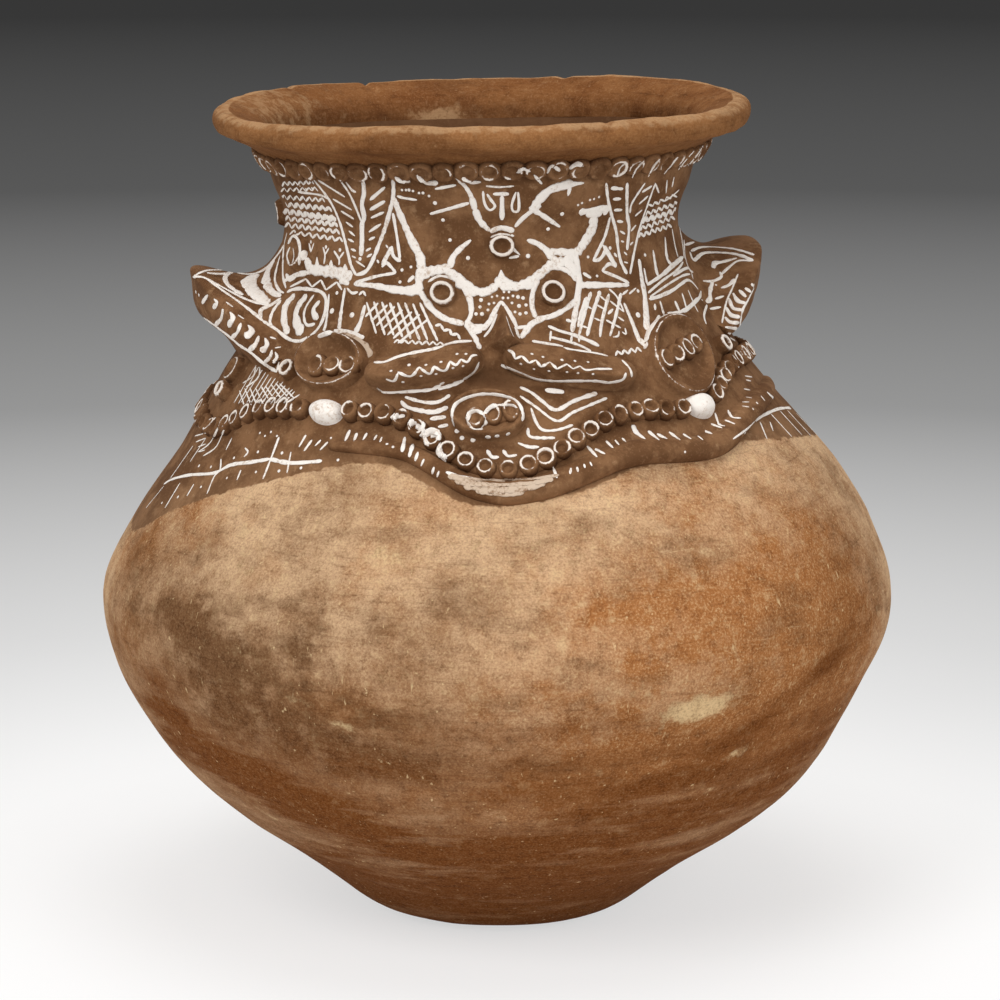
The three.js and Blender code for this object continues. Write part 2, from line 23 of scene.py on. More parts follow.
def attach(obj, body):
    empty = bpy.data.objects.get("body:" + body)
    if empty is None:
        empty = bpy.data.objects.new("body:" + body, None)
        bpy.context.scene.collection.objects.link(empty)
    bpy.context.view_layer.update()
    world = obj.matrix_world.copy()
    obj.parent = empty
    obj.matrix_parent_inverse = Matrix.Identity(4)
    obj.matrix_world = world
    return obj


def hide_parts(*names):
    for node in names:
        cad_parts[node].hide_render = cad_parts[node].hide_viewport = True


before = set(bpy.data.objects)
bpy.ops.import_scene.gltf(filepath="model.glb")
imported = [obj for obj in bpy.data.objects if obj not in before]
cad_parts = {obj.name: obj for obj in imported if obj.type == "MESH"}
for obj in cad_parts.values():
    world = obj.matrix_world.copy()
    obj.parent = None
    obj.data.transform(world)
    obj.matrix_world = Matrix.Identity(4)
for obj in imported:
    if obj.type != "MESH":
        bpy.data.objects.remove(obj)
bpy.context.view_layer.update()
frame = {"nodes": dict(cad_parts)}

LOG = logging.getLogger("sago_jar")
MM = 0.001
BODY = "root"
GAP = 0.4  # between neighbours in the chain
SINK = -1.2  # height of the underside of applied clay, in the wall
THROAT_TUCK = 4.2  # how far the neck draws in under the lip
FAR_FROM_EDGE = 99.0  # at places that the slip's edge doesn't reach
SHARP_ANGLE = 55.0  # degrees between faces that meet in an edge
LATTICE_PRIMES = (73856093, 19349663, 83492791)
SEED_PRIME = 2654435761
STIRRING = ((15, 739982445), (12, 695872825))
WORD = 0xFFFFFFFF

Array = np.ndarray
Place = tuple[float, float]
Triple = tuple[float, float, float]
Line = tuple[Place, ...]
Colour = tuple[float, float, float, float]
Marks = tuple[tuple[float, ...], ...]
Rows = tuple[tuple[object, ...], ...]
Dents = tuple[tuple[float, float, int], ...]
Rule = Callable[[Array], Array]
Face = Callable[[Array, Array, Array], Array]
Cover = Callable[[Array, Array], Array]
Piece = bpy.types.Object
Mesh = bpy.types.Mesh
Material = bpy.types.Material
Tree = bpy.types.NodeTree
Socket = bpy.types.NodeSocket
Input = Socket | float | Colour


class Slot(Enum):
    """Finish slots."""

    CLAY = "clay"
    SLIP = "slip"
    LIME = "lime"


class Hand(Enum):
    """The two sides of the jar, as seen from the front."""

    LEFT = "left"
    RIGHT = "right"


class Link(Enum):
    """Socket types of node groups."""

    VALUE = "NodeSocketFloat"
    VECTOR = "NodeSocketVector"
    GEOMETRY = "NodeSocketGeometry"
    OBJECT = "NodeSocketObject"
    MATERIAL = "NodeSocketMaterial"


def srgb(red: int, green: int, blue: int) -> Colour:
    """Turns a colour as seen on a screen into a linear one.

    Args:
        red: Red, 0 to 255.
        green: Green, 0 to 255.
        blue: Blue, 0 to 255.

    Returns:
        The linear colour with full alpha.
    """
    shares = [channel / 255 for channel in (red, green, blue)]
    low, high = zip(*[(share / 12.92, ((share + 0.055) / 1.055) ** 2.4) for share in shares])
    return (*[b if share > 0.04045 else a for a, b, share in zip(low, high, shares)], 1.0)


def ease(value: Array, low: float, high: float) -> Array:
    """Smooth step from 0 at low to 1 at high."""
    share = np.clip((np.asarray(value, float) - low) / (high - low), 0, 1)
    return share * share * (3 - 2 * share)


def swell(share: Array, taper: float, bluntness: float) -> Array:
    """Size along a piece that tapers from 1 in its middle to both ends."""
    return taper + (1 - taper) * np.maximum(0, np.sin(math.pi * share)) ** bluntness


def hump(value: Array, middle: float, spread: float) -> Array:
    """Height of a soft hump that is 1 at its middle."""
    return np.exp(-(((value - middle) / spread) ** 2))


def smooth_run(points: Sequence[Place], at: Array) -> Array:
    """Runs a smooth line that never overshoots through points.

    Args:
        points: Places along and heights, in order.
        at: Where to read the line.

    Returns:
        Heights.
    """
    x, y = np.array(points, float).T
    step = np.diff(x)
    slope = np.diff(y) / step
    both = slope[:-1] * slope[1:]
    inner = np.where(both > 0, 2 * both / np.where(both > 0, slope[:-1] + slope[1:], 1), 0)
    lean = np.concatenate([slope[:1], inner, slope[-1:]])
    i = np.clip(np.searchsorted(x, at, side="right") - 1, 0, len(step) - 1)
    t = np.clip((at - x[i]) / step[i], 0, 1)
    start = y[i] * (1 + 2 * t) * (1 - t) ** 2 + lean[i] * step[i] * t * (1 - t) ** 2
    return start + y[i + 1] * t * t * (3 - 2 * t) + lean[i + 1] * step[i] * t * t * (t - 1)


def bent_line(points: Array, steps: int) -> Array:
    """Draws one evenly weighted spline through points.

    Args:
        points: Rows of coordinates.
        steps: Samples for each stretch.

    Returns:
        Rows of coordinates along the spline.
    """
    points = np.asarray(points, float)
    count = len(points)
    t = np.linspace(0, 1, steps, endpoint=False)[:, None]
    rows = []
    for i in range(count - 1):
        before, start = points[max(i - 1, 0)], points[i]
        end, after = points[i + 1], points[min(i + 2, count - 1)]
        lean, arrive = (end - before) / 2, (after - start) / 2
        cubic = (2 * start - 2 * end + lean + arrive) * t**3
        rows.append(cubic + (-3 * start + 3 * end - 2 * lean - arrive) * t**2 + lean * t + start)
    return np.concatenate([*rows, points[-1:]])


def distances(line: Array) -> Array:
    """Distances along a line of points."""
    return np.concatenate([[0], np.cumsum(np.linalg.norm(np.diff(line, axis=0), axis=1))])


def unit(rows: Array) -> Array:
    """Rows of directions at length 1."""
    return rows / np.linalg.norm(rows, axis=1)[:, None]


def lumps(points: Array, seed: int) -> Array:
    """Smooth lumpy noise on a unit lattice.

    Args:
        points: Rows of three coordinates, in lattice cells.
        seed: Which noise.

    Returns:
        Values from -1 to 1.
    """
    cell = np.floor(points).astype(np.int64)
    part = points - cell
    soft = part * part * (3 - 2 * part)
    total = np.zeros(len(points))
    for corner in np.ndindex(2, 2, 2):
        at = (cell + corner) * LATTICE_PRIMES
        mixed = (at[:, 0] ^ at[:, 1] ^ at[:, 2] ^ (seed * SEED_PRIME)) & WORD
        for shift, factor in STIRRING:
            mixed = ((mixed ^ (mixed >> shift)) * factor) & WORD
        weight = np.prod(np.where(corner, soft, 1 - soft), axis=1)
        total += weight * ((mixed >> 8) / 0x7FFFFF - 1)
    return total


def dented(columns: Sequence[Array], dents: Dents) -> Array:
    """Adds up lumps of several sizes.

    Args:
        columns: Three coordinates, as arrays of one shape.
        dents: Depth, size and seed of each kind of lump.

    Returns:
        Heights, in the shape of the coordinates.
    """
    spots = np.column_stack([column.ravel() for column in columns])
    heights = sum(depth * lumps(spots / size, seed) for depth, size, seed in dents)
    return heights.reshape(columns[0].shape)


def new_object(name: str, data: bpy.types.ID) -> Piece:
    """Makes an object and links it to the scene.

    Args:
        name: Name of the object.
        data: Its mesh, lamp or camera.

    Returns:
        The object.
    """
    made = bpy.data.objects.new(name, data)
    bpy.context.scene.collection.objects.link(made)
    return made


def smoothed(mesh: Mesh) -> Mesh:
    """Shades a mesh smoothly."""
    mesh.polygons.foreach_set("use_smooth", [True] * len(mesh.polygons))
    return mesh


@dataclass(frozen=True)
class JarWall:
    """The wall's outer outline, and the sway and tilt that the potter's hands left."""

    heights: tuple[float, ...] = (0, 8, 34, 73, 119, 194, 254, 335, 375, 413, 447, 485)
    radii: tuple[float, ...] = (62, 86, 120, 174, 215, 248, 231, 174, 147, 128.5, 123, 141.5)
    thickness: float = 12.0
    sway_heights: tuple[float, ...] = (0, 70, 150, 205, 285, 360, 450, 600)
    sway_shifts: tuple[float, ...] = (0, 3, -2, 0, 4.5, -4.5, -9.5, -10.5)
    rim_tilt: float = 3.0
    rim_wave: float = 1.4
    rim_waves: int = 3
    rim_wave_start: float = 40.0
    dents: Dents = ((0.75, 62, 3), (0.35, 23, 5), (0.12, 8, 7))
    face_turn: float = 5.0
    samples: int = 400

    @cached_property
    def outline(self) -> Array:
        """Rows of distance from the base, radius, height, and the outward direction."""
        line = bent_line(np.column_stack([self.radii, self.heights]), self.samples)
        along = unit(np.gradient(line, axis=0))
        return np.column_stack([distances(line), line, along[:, 1], -along[:, 0]])

    @property
    def length(self) -> float:
        """Distance along the outline from the base to the throat."""
        return float(self.outline[-1, 0])

    @property
    def throat(self) -> float:
        """Height of the throat."""
        return self.heights[-1]

    def at(self, drop: Array, lift: Array | float = 0.0) -> tuple[Array, Array]:
        """Reads the outline.

        Args:
            drop: Distance down the wall from the throat.
            lift: Distance off the wall.

        Returns:
            Radius and height.
        """
        run = self.length - np.asarray(drop, float)
        columns = [np.interp(run, self.outline[:, 0], self.outline[:, i]) for i in range(1, 5)]
        radius, height, out, up = columns
        return radius + out * lift, height + up * lift

    def radius(self, drop: Array | float) -> Array:
        """Radius of the wall at a drop."""
        return self.at(drop)[0]

    def drop_of(self, height: Array) -> Array:
        """Drop at which the wall has a height."""
        return self.length - np.interp(height, self.outline[:, 2], self.outline[:, 0])

    def sway(self, height: Array) -> Array:
        """Reads how far the wall leans to a side.

        Args:
            height: Heights above the resting face.

        Returns:
            Sideways shifts.
        """
        stops, shifts = np.array(self.sway_heights), np.array(self.sway_shifts)
        i = np.clip(np.searchsorted(stops, height, side="right") - 1, 0, len(stops) - 2)
        share = np.clip((height - stops[i]) / (stops[i + 1] - stops[i]), 0, 1)
        return shifts[i] + (shifts[i + 1] - shifts[i]) * share * share * (3 - 2 * share)

    def turned(self, turn: Array, radius: Array, height: Array) -> Array:
        """Turns a profile round the axis and leaves it as uneven as the hand made it.

        Args:
            turn: Angle from the front, positive to the right.
            radius: Distance from the axis.
            height: Height above the resting face.

        Returns:
            Rows of coordinates in metres.
        """
        turn, radius, height = np.broadcast_arrays(turn, radius, height)
        turn, radius, height = turn.ravel(), radius.ravel(), height.ravel()
        near = ease(height, self.throat - self.rim_wave_start, self.throat)
        wave = self.rim_tilt * np.sin(turn) + self.rim_wave * np.cos(self.rim_waves * turn)
        x = radius * np.sin(turn) + self.sway(height)
        return np.column_stack([x, -radius * np.cos(turn), height + near * wave]) * MM

    def bulge(self, turn: Array, drop: Array) -> Array:
        """Height of the shallow lumps that beating and scraping left in the wall."""
        radius, height = self.at(drop)
        return dented((radius * np.sin(turn), radius * np.cos(turn), height), self.dents)

    def place(self, turn: Array, drop: Array, lift: Array | float) -> Array:
        """Places points on the wall.

        Args:
            turn: Angle from the front, positive to the right.
            drop: Distance down the wall from the throat.
            lift: Distance off the wall.

        Returns:
            Rows of coordinates in metres.
        """
        turn, drop, lift = np.broadcast_arrays(*[np.asarray(v, float) for v in (turn, drop, lift)])
        radius, height = self.at(drop, lift + self.bulge(turn, drop))
        return self.turned(turn, radius, height)

    def lay(self, across: float, drop: float, x: Array, y: Array, lift: Array) -> Array:
        """Wraps a flat piece round the wall.

        Args:
            across: Distance along the wall from the middle of the face to the piece's middle.
            drop: Distance down the wall to the piece's middle.
            x: Places across the piece.
            y: Places up the piece.
            lift: Heights off the wall.

        Returns:
            Rows of coordinates in metres.
        """
        down = drop - y
        turn = across / self.radius(drop) + x / self.radius(down) + math.radians(self.face_turn)
        return self.place(turn, down, lift)


@dataclass(frozen=True)
class FrontView:
    """The viewing point in front of the jar, in millimetres and pixels."""

    x: float = 1.86
    y: float = -2400.0
    z: float = 734.9
    pitch: float = 11.183
    focal: float = 3871.0
    frame: float = 1000.0
    sensor: float = 36.0
    near: float = 1.9
    far: float = 2.9
    samples: int = 4000

    def ray(self, px: float, py: float) -> tuple[Vector, Vector]:
        """Draws the line of sight through a pixel.

        Args:
            px: Pixel column.
            py: Pixel row.

        Returns:
            Its start in metres, and its direction.
        """
        lean = math.radians(self.pitch)
        side, up = (px - self.frame / 2) / self.focal, (self.frame / 2 - py) / self.focal
        ahead = Vector((0, math.cos(lean), -math.sin(lean)))
        sight = ahead + Vector((side, 0, 0)) + up * Vector((0, math.sin(lean), math.cos(lean)))
        return Vector((self.x, self.y, self.z)) * MM, sight.normalized()

    def on_wall(self, wall: JarWall, px: float, py: float) -> Place:
        """Finds where a line of sight meets the bare wall.

        Args:
            wall: The wall.
            px: Pixel column.
            py: Pixel row.

        Returns:
            Turn and drop.
        """
        start, sight = self.ray(px, py)
        t = np.linspace(self.near, self.far, self.samples)[:, None]
        spots = (np.array(start) + t * np.array(sight)) / MM
        height = np.clip(spots[:, 2], 0, wall.throat)
        x = spots[:, 0] - wall.sway(height)
        inside = np.hypot(x, spots[:, 1]) - wall.radius(wall.drop_of(height))
        first = int(np.argmax(inside < 0)) or int(np.argmin(inside))
        turn = math.atan2(x[first], -spots[first, 1])
        return turn, float(wall.drop_of(height[first]))

    def set_camera(self) -> None:
        """Puts the scene's camera at the viewing point."""
        data = bpy.data.cameras.new("front_view")
        data.sensor_width = self.sensor
        data.lens = self.sensor * self.focal / self.frame
        camera = new_object("front_view", data)
        camera.location = Vector((self.x, self.y, self.z)) * MM
        camera.rotation_euler = (math.radians(90 - self.pitch), 0, 0)
        bpy.context.scene.camera = camera


@dataclass
class NodeSheet:
    """A node tree that is being drawn."""

    tree: Tree

    def add(self, kind: str, inputs: dict | None = None, **settings: object) -> bpy.types.Node:
        """Adds a node.

        Args:
            kind: Node type.
            inputs: Values or sockets by input name or index.
            settings: Properties of the node.

        Returns:
            The node.
        """
        node = self.tree.nodes.new(kind)
        for name, value in settings.items():
            setattr(node, name, value)
        for key, value in (inputs or {}).items():
            if isinstance(value, Socket):
                self.link(value, node.inputs[key])
            else:
                node.inputs[key].default_value = value
        return node

    def link(self, start: Socket, end: Socket) -> None:
        """Joins two sockets."""
        self.tree.links.new(start, end)

    def group(self, tree: Tree, **inputs: Input) -> bpy.types.NodeOutputs:
        """Outputs of a node group."""
        return self.add("ShaderNodeGroup", inputs, node_tree=tree).outputs

    def noise(self, at: Socket, scale: Input, detail: float = 3, roughness: float = 0.5) -> Socket:
        """Noise value."""
        inputs = {"Vector": at, "Scale": scale, "Detail": detail, "Roughness": roughness}
        return self.add("ShaderNodeTexNoise", inputs).outputs["Fac"]

    def stretched(self, at: Socket, scale: Triple) -> Socket:
        """Coordinates scaled along each axis."""
        return self.add("ShaderNodeMapping", {"Vector": at, "Scale": scale}).outputs[0]

    def band(
        self, value: Socket, low: float, high: float, start: float = 0, end: float = 1
    ) -> Socket:
        """Value graded smoothly from a start at the low limit to an end at the high one."""
        inputs = {"Value": value, 1: low, 2: high, 3: start, 4: end}
        return self.add("ShaderNodeMapRange", inputs, interpolation_type="SMOOTHSTEP").outputs[0]

    def math(self, operation: str, first: Input, second: Input, clamp: bool = False) -> Socket:
        """Sum, product or other mathematical result."""
        inputs = {0: first, 1: second}
        return self.add("ShaderNodeMath", inputs, operation=operation, use_clamp=clamp).outputs[0]

    def total(self, *parts: tuple[Socket, float]) -> Socket:
        """Sum of values, each times its weight."""
        weighed = [self.math("MULTIPLY", value, weight) for value, weight in parts]
        return reduce(lambda so_far, part: self.math("ADD", so_far, part), weighed)

    def blend(self, factor: Input, first: Input, second: Input, mode: str = "MIX") -> Socket:
        """Mix of two colours."""
        settings = {"data_type": "RGBA", "blend_type": mode, "clamp_factor": True}
        return self.add("ShaderNodeMix", {0: factor, 6: first, 7: second}, **settings).outputs[2]

    def mark(self, name: str) -> Socket:
        """Value of a named attribute."""
        return self.add("ShaderNodeAttribute", attribute_name=name).outputs["Fac"]

    def carried(self, name: str, kind: str) -> Socket:
        """Named attribute of a geometry."""
        node = self.add("GeometryNodeInputNamedAttribute", {"Name": name}, data_type=kind)
        return node.outputs[0]

    def facing(self, off: Input, along: Input) -> Socket:
        """Rotation that turns Z off the wall and X along it."""
        settings = {"primary_axis": "Z", "secondary_axis": "X"}
        return self.add("FunctionNodeAxesToRotation", {0: off, 1: along}, **settings).outputs[0]

    def whole(self, instances: Socket, mesh: Socket, finish: Socket) -> Socket:
        """Joins instances to a mesh, and makes them real and of one material.

        Args:
            instances: The instances.
            mesh: The mesh.
            finish: The material.

        Returns:
            The geometry.
        """
        both = self.add("GeometryNodeJoinGeometry", {0: instances})
        self.link(mesh, both.inputs[0])
        real = self.add("GeometryNodeRealizeInstances", {0: both.outputs[0]}).outputs[0]
        inputs = {"Geometry": real, "Material": finish}
        return self.add("GeometryNodeSetMaterial", inputs).outputs[0]


def new_group(
    name: str, inputs: dict[str, Link], outputs: dict[str, Link], kind: str = "ShaderNodeTree"
) -> tuple[NodeSheet, dict[str, Socket], dict[str, Socket]]:
    """Starts a node group.

    Args:
        name: Name of the group.
        inputs: Socket types by input name.
        outputs: Socket types by output name.
        kind: Type of the node tree.

    Returns:
        The sheet, the sockets of the inputs, and the sockets that take the outputs.
    """
    tree = bpy.data.node_groups.new(name, kind)
    for side, sockets in (("INPUT", inputs), ("OUTPUT", outputs)):
        for label, link in sockets.items():
            tree.interface.new_socket(name=label, in_out=side, socket_type=link.value)
    sheet = NodeSheet(tree)
    given = sheet.add("NodeGroupInput").outputs
    taken = sheet.add("NodeGroupOutput").inputs
    given = {label: given[label] for label in inputs}
    return sheet, given, {label: taken[label] for label in outputs}


def clay_grain() -> Tree:
    """Makes the grit, pits and scrape marks of hand-worked clay.

    Returns:
        A group that gives a height and a mask of speckles.
    """
    inputs = {"Place": Link.VECTOR, "Grit": Link.VALUE}
    outputs = {"Height": Link.VALUE, "Speckle": Link.VALUE}
    sheet, given, taken = new_group("hand_worked_clay", inputs, outputs)
    place = given["Place"]
    grit = sheet.noise(place, given["Grit"], 4)
    wide = sheet.noise(place, 150, 3)
    scrape = sheet.noise(sheet.stretched(place, (24, 24, 170)), 1, 5, 0.65)
    stones = sheet.add("ShaderNodeTexVoronoi", {"Vector": place, "Scale": 330.0})
    pits = sheet.band(stones.outputs["Distance"], 0.05, 0.16)
    height = sheet.total((grit, 0.5), (wide, 0.6), (scrape, 0.7), (pits, 0.25))
    sheet.link(height, taken["Height"])
    sheet.link(sheet.band(grit, 0.56, 0.7), taken["Speckle"])
    return sheet.tree


def lime_wear() -> Tree:
    """Makes lime paint that is rubbed thin in spots.

    Returns:
        A group that tells how much of a painted cover is left.
    """
    inputs = {"Place": Link.VECTOR, "Cover": Link.VALUE, "Wear": Link.VALUE}
    sheet, given, taken = new_group("rubbed_lime", inputs, {"Left": Link.VALUE})
    fine = sheet.noise(given["Place"], 520, 4, 0.65)
    patch = sheet.noise(given["Place"], 95, 3)
    rub = sheet.math("SUBTRACT", sheet.total((fine, 0.6), (patch, 0.4)), 0.42)
    rub = sheet.math("MULTIPLY", rub, given["Wear"])
    left = sheet.band(sheet.math("SUBTRACT", given["Cover"], rub), 0.34, 0.6)
    sheet.link(left, taken["Left"])
    return sheet.tree


def ragged_edge() -> Tree:
    """Makes the ragged line at which slip and bare clay meet.

    Returns:
        A group that tells what lies past the edge, on either side of it.
    """
    inputs = {"Place": Link.VECTOR, "Edge": Link.VALUE, "Side": Link.VALUE}
    sheet, given, taken = new_group("ragged_edge", inputs, {"Past": Link.VALUE})
    ragged = sheet.math("SUBTRACT", sheet.noise(given["Place"], 170, 4), 0.5)
    ragged = sheet.math("MULTIPLY", sheet.math("MULTIPLY", ragged, 7.0), given["Side"])
    past = sheet.band(sheet.math("ADD", given["Edge"], ragged), -0.8, 0.8, 1, 0)
    sheet.link(past, taken["Past"])
    return sheet.tree


@dataclass(frozen=True)
class Groups:
    """Node groups that several finishes share."""

    grain: Tree
    wear: Tree
    edge: Tree


def new_material(
    name: str, roughness: float, specular: float
) -> tuple[Material, NodeSheet, bpy.types.Node, Socket]:
    """Starts a procedural material.

    Args:
        name: Name of the finish.
        roughness: Roughness of the surface.
        specular: Specular level.

    Returns:
        The material, its sheet, its shader and its object coordinates.
    """
    material = bpy.data.materials.new(name)
    material.use_nodes = True
    sheet = NodeSheet(material.node_tree)
    shader = material.node_tree.nodes["Principled BSDF"]
    shader.inputs["Roughness"].default_value = roughness
    shader.inputs["Specular IOR Level"].default_value = specular
    return material, sheet, shader, sheet.add("ShaderNodeTexCoord").outputs["Object"]


def coat(
    sheet: NodeSheet, shader: bpy.types.Node, colour: Socket, height: Socket, bump: float,
    depth: float,
) -> None:
    """Gives the shader its colour, and a normal through a bump.

    Args:
        sheet: The material's sheet.
        shader: Its shader.
        colour: Colour socket.
        height: Height socket.
        bump: How strongly the height shows.
        depth: Depth of the height in metres.
    """
    sheet.link(colour, shader.inputs["Base Color"])
    inputs = {"Height": height, "Strength": bump, "Distance": depth}
    sheet.link(sheet.add("ShaderNodeBump", inputs).outputs["Normal"], shader.inputs["Normal"])


@dataclass(frozen=True)
class BareClay:
    """Unslipped fired clay: tan with rust, soot, painted shade and painted highlights, scraped and
    speckled.
    """

    name: str
    tan: Colour
    rust: Colour
    soot_and_shade: Colour
    pale: Colour
    grit: float = 1.0
    burn_and_shade: Colour = srgb(118, 69, 30)
    shade: Colour = srgb(186, 174, 164)
    slip: Colour = srgb(122, 86, 57)
    roughness: float = 0.95
    specular: float = 0.06
    grain: float = 620.0
    least_bump: float = 0.3
    grit_bump: float = 0.4
    depth: float = 0.001

    def material(self, groups: Groups) -> Material:
        """Builds the material.

        Args:
            groups: Shared node groups.

        Returns:
            The material.
        """
        material, sheet, shader, place = new_material(self.name, self.roughness, self.specular)
        cloud = sheet.noise(sheet.stretched(place, (1, 1, 2.2)), 16, 6, 0.62)
        mottle = sheet.noise(place, 42, 6, 0.68)
        clots = sheet.noise(place, 110, 5, 0.7)
        grains = sheet.noise(place, 720, 4, 0.72)
        # rust, in broad clouds and where it is marked
        broad = sheet.noise(sheet.stretched(place, (1, 1, 1.8)), 7.5, 6, 0.62)
        rust = sheet.math("ADD", sheet.band(broad, 0.46, 0.68, 0, 0.42), sheet.mark("rust"))
        rust = sheet.math("ADD", rust, sheet.band(mottle, 0.4, 0.66, -0.15, 0.3), True)
        colour = sheet.blend(rust, self.tan, self.rust)
        # soot and painted shade, mottled where they are marked, and soot in clouds
        mottled = sheet.band(mottle, 0.3, 0.66, 0.35, 0.78)
        soot_and_shade = sheet.math("MULTIPLY", sheet.mark("soot_and_shade"), mottled)
        soot_and_shade = sheet.math("ADD", soot_and_shade, sheet.band(cloud, 0.47, 0.66, 0, 0.4), True)
        colour = sheet.blend(soot_and_shade, colour, self.soot_and_shade)
        # burn marks, and fire darkening with painted shade towards the foot, in level streaks
        sweep = sheet.noise(sheet.stretched(place, (9, 9, 75)), 1, 6, 0.65)
        streaks = sheet.band(sweep, 0.34, 0.64, 0.68, 1.15)
        burn_and_shade = sheet.math("MULTIPLY", sheet.mark("burn_and_shade"), streaks, True)
        colour = sheet.blend(burn_and_shade, colour, self.burn_and_shade)
        # pale patches with flaked edges, and the painted highlight and painted light that the lip
        # marks
        flake = sheet.math("MULTIPLY", sheet.math("SUBTRACT", clots, 0.5), 1.6)
        pale = sheet.band(sheet.math("ADD", sheet.mark("pale"), flake), 0.25, 0.72, 0, 0.75)
        colour = sheet.blend(pale, colour, self.pale)
        # dark grains, and light ones that are fewer on stained clay
        shade = sheet.band(grains, 0.47, 0.66, 0, 0.55 * self.grit)
        shade = sheet.math("ADD", shade, sheet.band(clots, 0.5, 0.66, 0, 0.42), True)
        colour = sheet.blend(shade, colour, self.shade, "MULTIPLY")
        clean = sheet.band(sheet.math("ADD", soot_and_shade, burn_and_shade), 0, 1, 1, 0.28)
        clean = sheet.math("MULTIPLY", clean, self.grit)
        light = sheet.band(grains, 0.5, 0.34, 0, 0.36)
        light = sheet.math("ADD", light, sheet.band(clots, 0.46, 0.32, 0, 0.3))
        colour = sheet.blend(sheet.math("MULTIPLY", light, clean), colour, self.pale)
        # scratches of the scraper, dark and pale
        scratch = sheet.noise(sheet.stretched(place, (42, 42, 640)), 1, 3, 0.6)
        dark = sheet.band(scratch, 0.44, 0.3, 0, 0.4)
        colour = sheet.blend(dark, colour, self.shade, "MULTIPLY")
        scuffed = sheet.math("MULTIPLY", sheet.band(cloud, 0.44, 0.6), clean)
        scuffed = sheet.math("MULTIPLY", scuffed, sheet.band(scratch, 0.62, 0.76, 0, 0.45))
        colour = sheet.blend(scuffed, colour, self.pale)
        # upright nicks and small chips
        nicked = sheet.noise(sheet.stretched(place, (360, 360, 46)), 1, 2, 0.5)
        nicked = sheet.band(nicked, 0.68, 0.76, 0, 0.6)
        nicked = sheet.math("MULTIPLY", nicked, sheet.band(mottle, 0.46, 0.58))
        chips = sheet.band(sheet.noise(place, 230, 3, 0.6), 0.67, 0.75, 0, 0.6)
        chips = sheet.math("MAXIMUM", nicked, chips)
        colour = sheet.blend(sheet.math("MULTIPLY", chips, self.grit), colour, self.pale)
        # slip that ran past its edge
        edge = sheet.group(groups.edge, Place=place, Edge=sheet.mark("edge"), Side=-1.0)
        colour = sheet.blend(edge["Past"], colour, self.slip)
        height = sheet.group(groups.grain, Place=place, Grit=self.grain)["Height"]
        bump = self.least_bump + self.grit_bump * self.grit
        coat(sheet, shader, colour, height, bump, self.depth)
        return material


@dataclass(frozen=True)
class BrownSlip:
    """Dark slip, rubbed and dusty, with painted shade where it is marked and lime left on whatever
    is marked as painted.
    """

    name: str = "brown_slip"
    dark: Colour = srgb(104, 71, 45)
    brown: Colour = srgb(136, 99, 68)
    rubbed: Colour = srgb(172, 136, 101)
    lime: Colour = srgb(244, 233, 222)
    clay: Colour = srgb(186, 148, 110)
    deep_shade: Colour = srgb(78, 50, 30)
    roughness: float = 0.9
    specular: float = 0.12
    grain: float = 700.0
    speckle: float = 0.22
    wear: float = 1.6
    bump: float = 0.45
    depth: float = 0.0007

    def material(self, groups: Groups) -> Material:
        """Builds the material.

        Args:
            groups: Shared node groups.

        Returns:
            The material.
        """
        material, sheet, shader, place = new_material(self.name, self.roughness, self.specular)
        grain = sheet.group(groups.grain, Place=place, Grit=self.grain)
        mottle = sheet.noise(place, 38, 6, 0.65)
        colour = sheet.blend(sheet.band(mottle, 0.4, 0.6), self.dark, self.brown)
        clots = sheet.band(sheet.noise(place, 240, 5, 0.7), 0.5, 0.64, 0, 0.4)
        colour = sheet.blend(clots, colour, self.dark)
        rub = sheet.band(sheet.noise(place, 130, 5, 0.7), 0.54, 0.74, 0, 0.55)
        rub = sheet.math("ADD", rub, sheet.mark("rub"), True)
        colour = sheet.blend(rub, colour, self.rubbed)
        speckle = sheet.math("MULTIPLY", grain["Speckle"], self.speckle)
        colour = sheet.blend(speckle, colour, self.rubbed)
        # painted shade: darker slip in creases, in the hollow under the beak and in the dimples of
        # beads
        colour = sheet.blend(sheet.mark("soot_and_shade"), colour, self.deep_shade)
        wear = sheet.group(groups.wear, Place=place, Cover=sheet.mark("lime"), Wear=self.wear)
        colour = sheet.blend(wear["Left"], colour, self.lime)
        edge = sheet.group(groups.edge, Place=place, Edge=sheet.mark("edge"), Side=1.0)
        colour = sheet.blend(edge["Past"], colour, self.clay)
        coat(sheet, shader, colour, grain["Height"], self.bump, self.depth)
        return material


@dataclass(frozen=True)
class ChalkLime:
    """Lime paint: chalky white with the slip showing through where it is thin."""

    name: str = "chalk_lime"
    white: Colour = srgb(250, 243, 235)
    thin: Colour = srgb(192, 164, 138)
    wear: float = 1.1
    roughness: float = 0.95
    specular: float = 0.15
    grain: float = 900.0
    cover: float = 0.69
    bump: float = 0.4
    depth: float = 0.0005

    def material(self, groups: Groups) -> Material:
        """Builds the material.

        Args:
            groups: Shared node groups.

        Returns:
            The material.
        """
        material, sheet, shader, place = new_material(self.name, self.roughness, self.specular)
        grain = sheet.group(groups.grain, Place=place, Grit=self.grain)
        wear = sheet.group(groups.wear, Place=place, Cover=self.cover, Wear=self.wear)
        colour = sheet.blend(wear["Left"], self.thin, self.white)
        coat(sheet, shader, colour, grain["Height"], self.bump, self.depth)
        return material


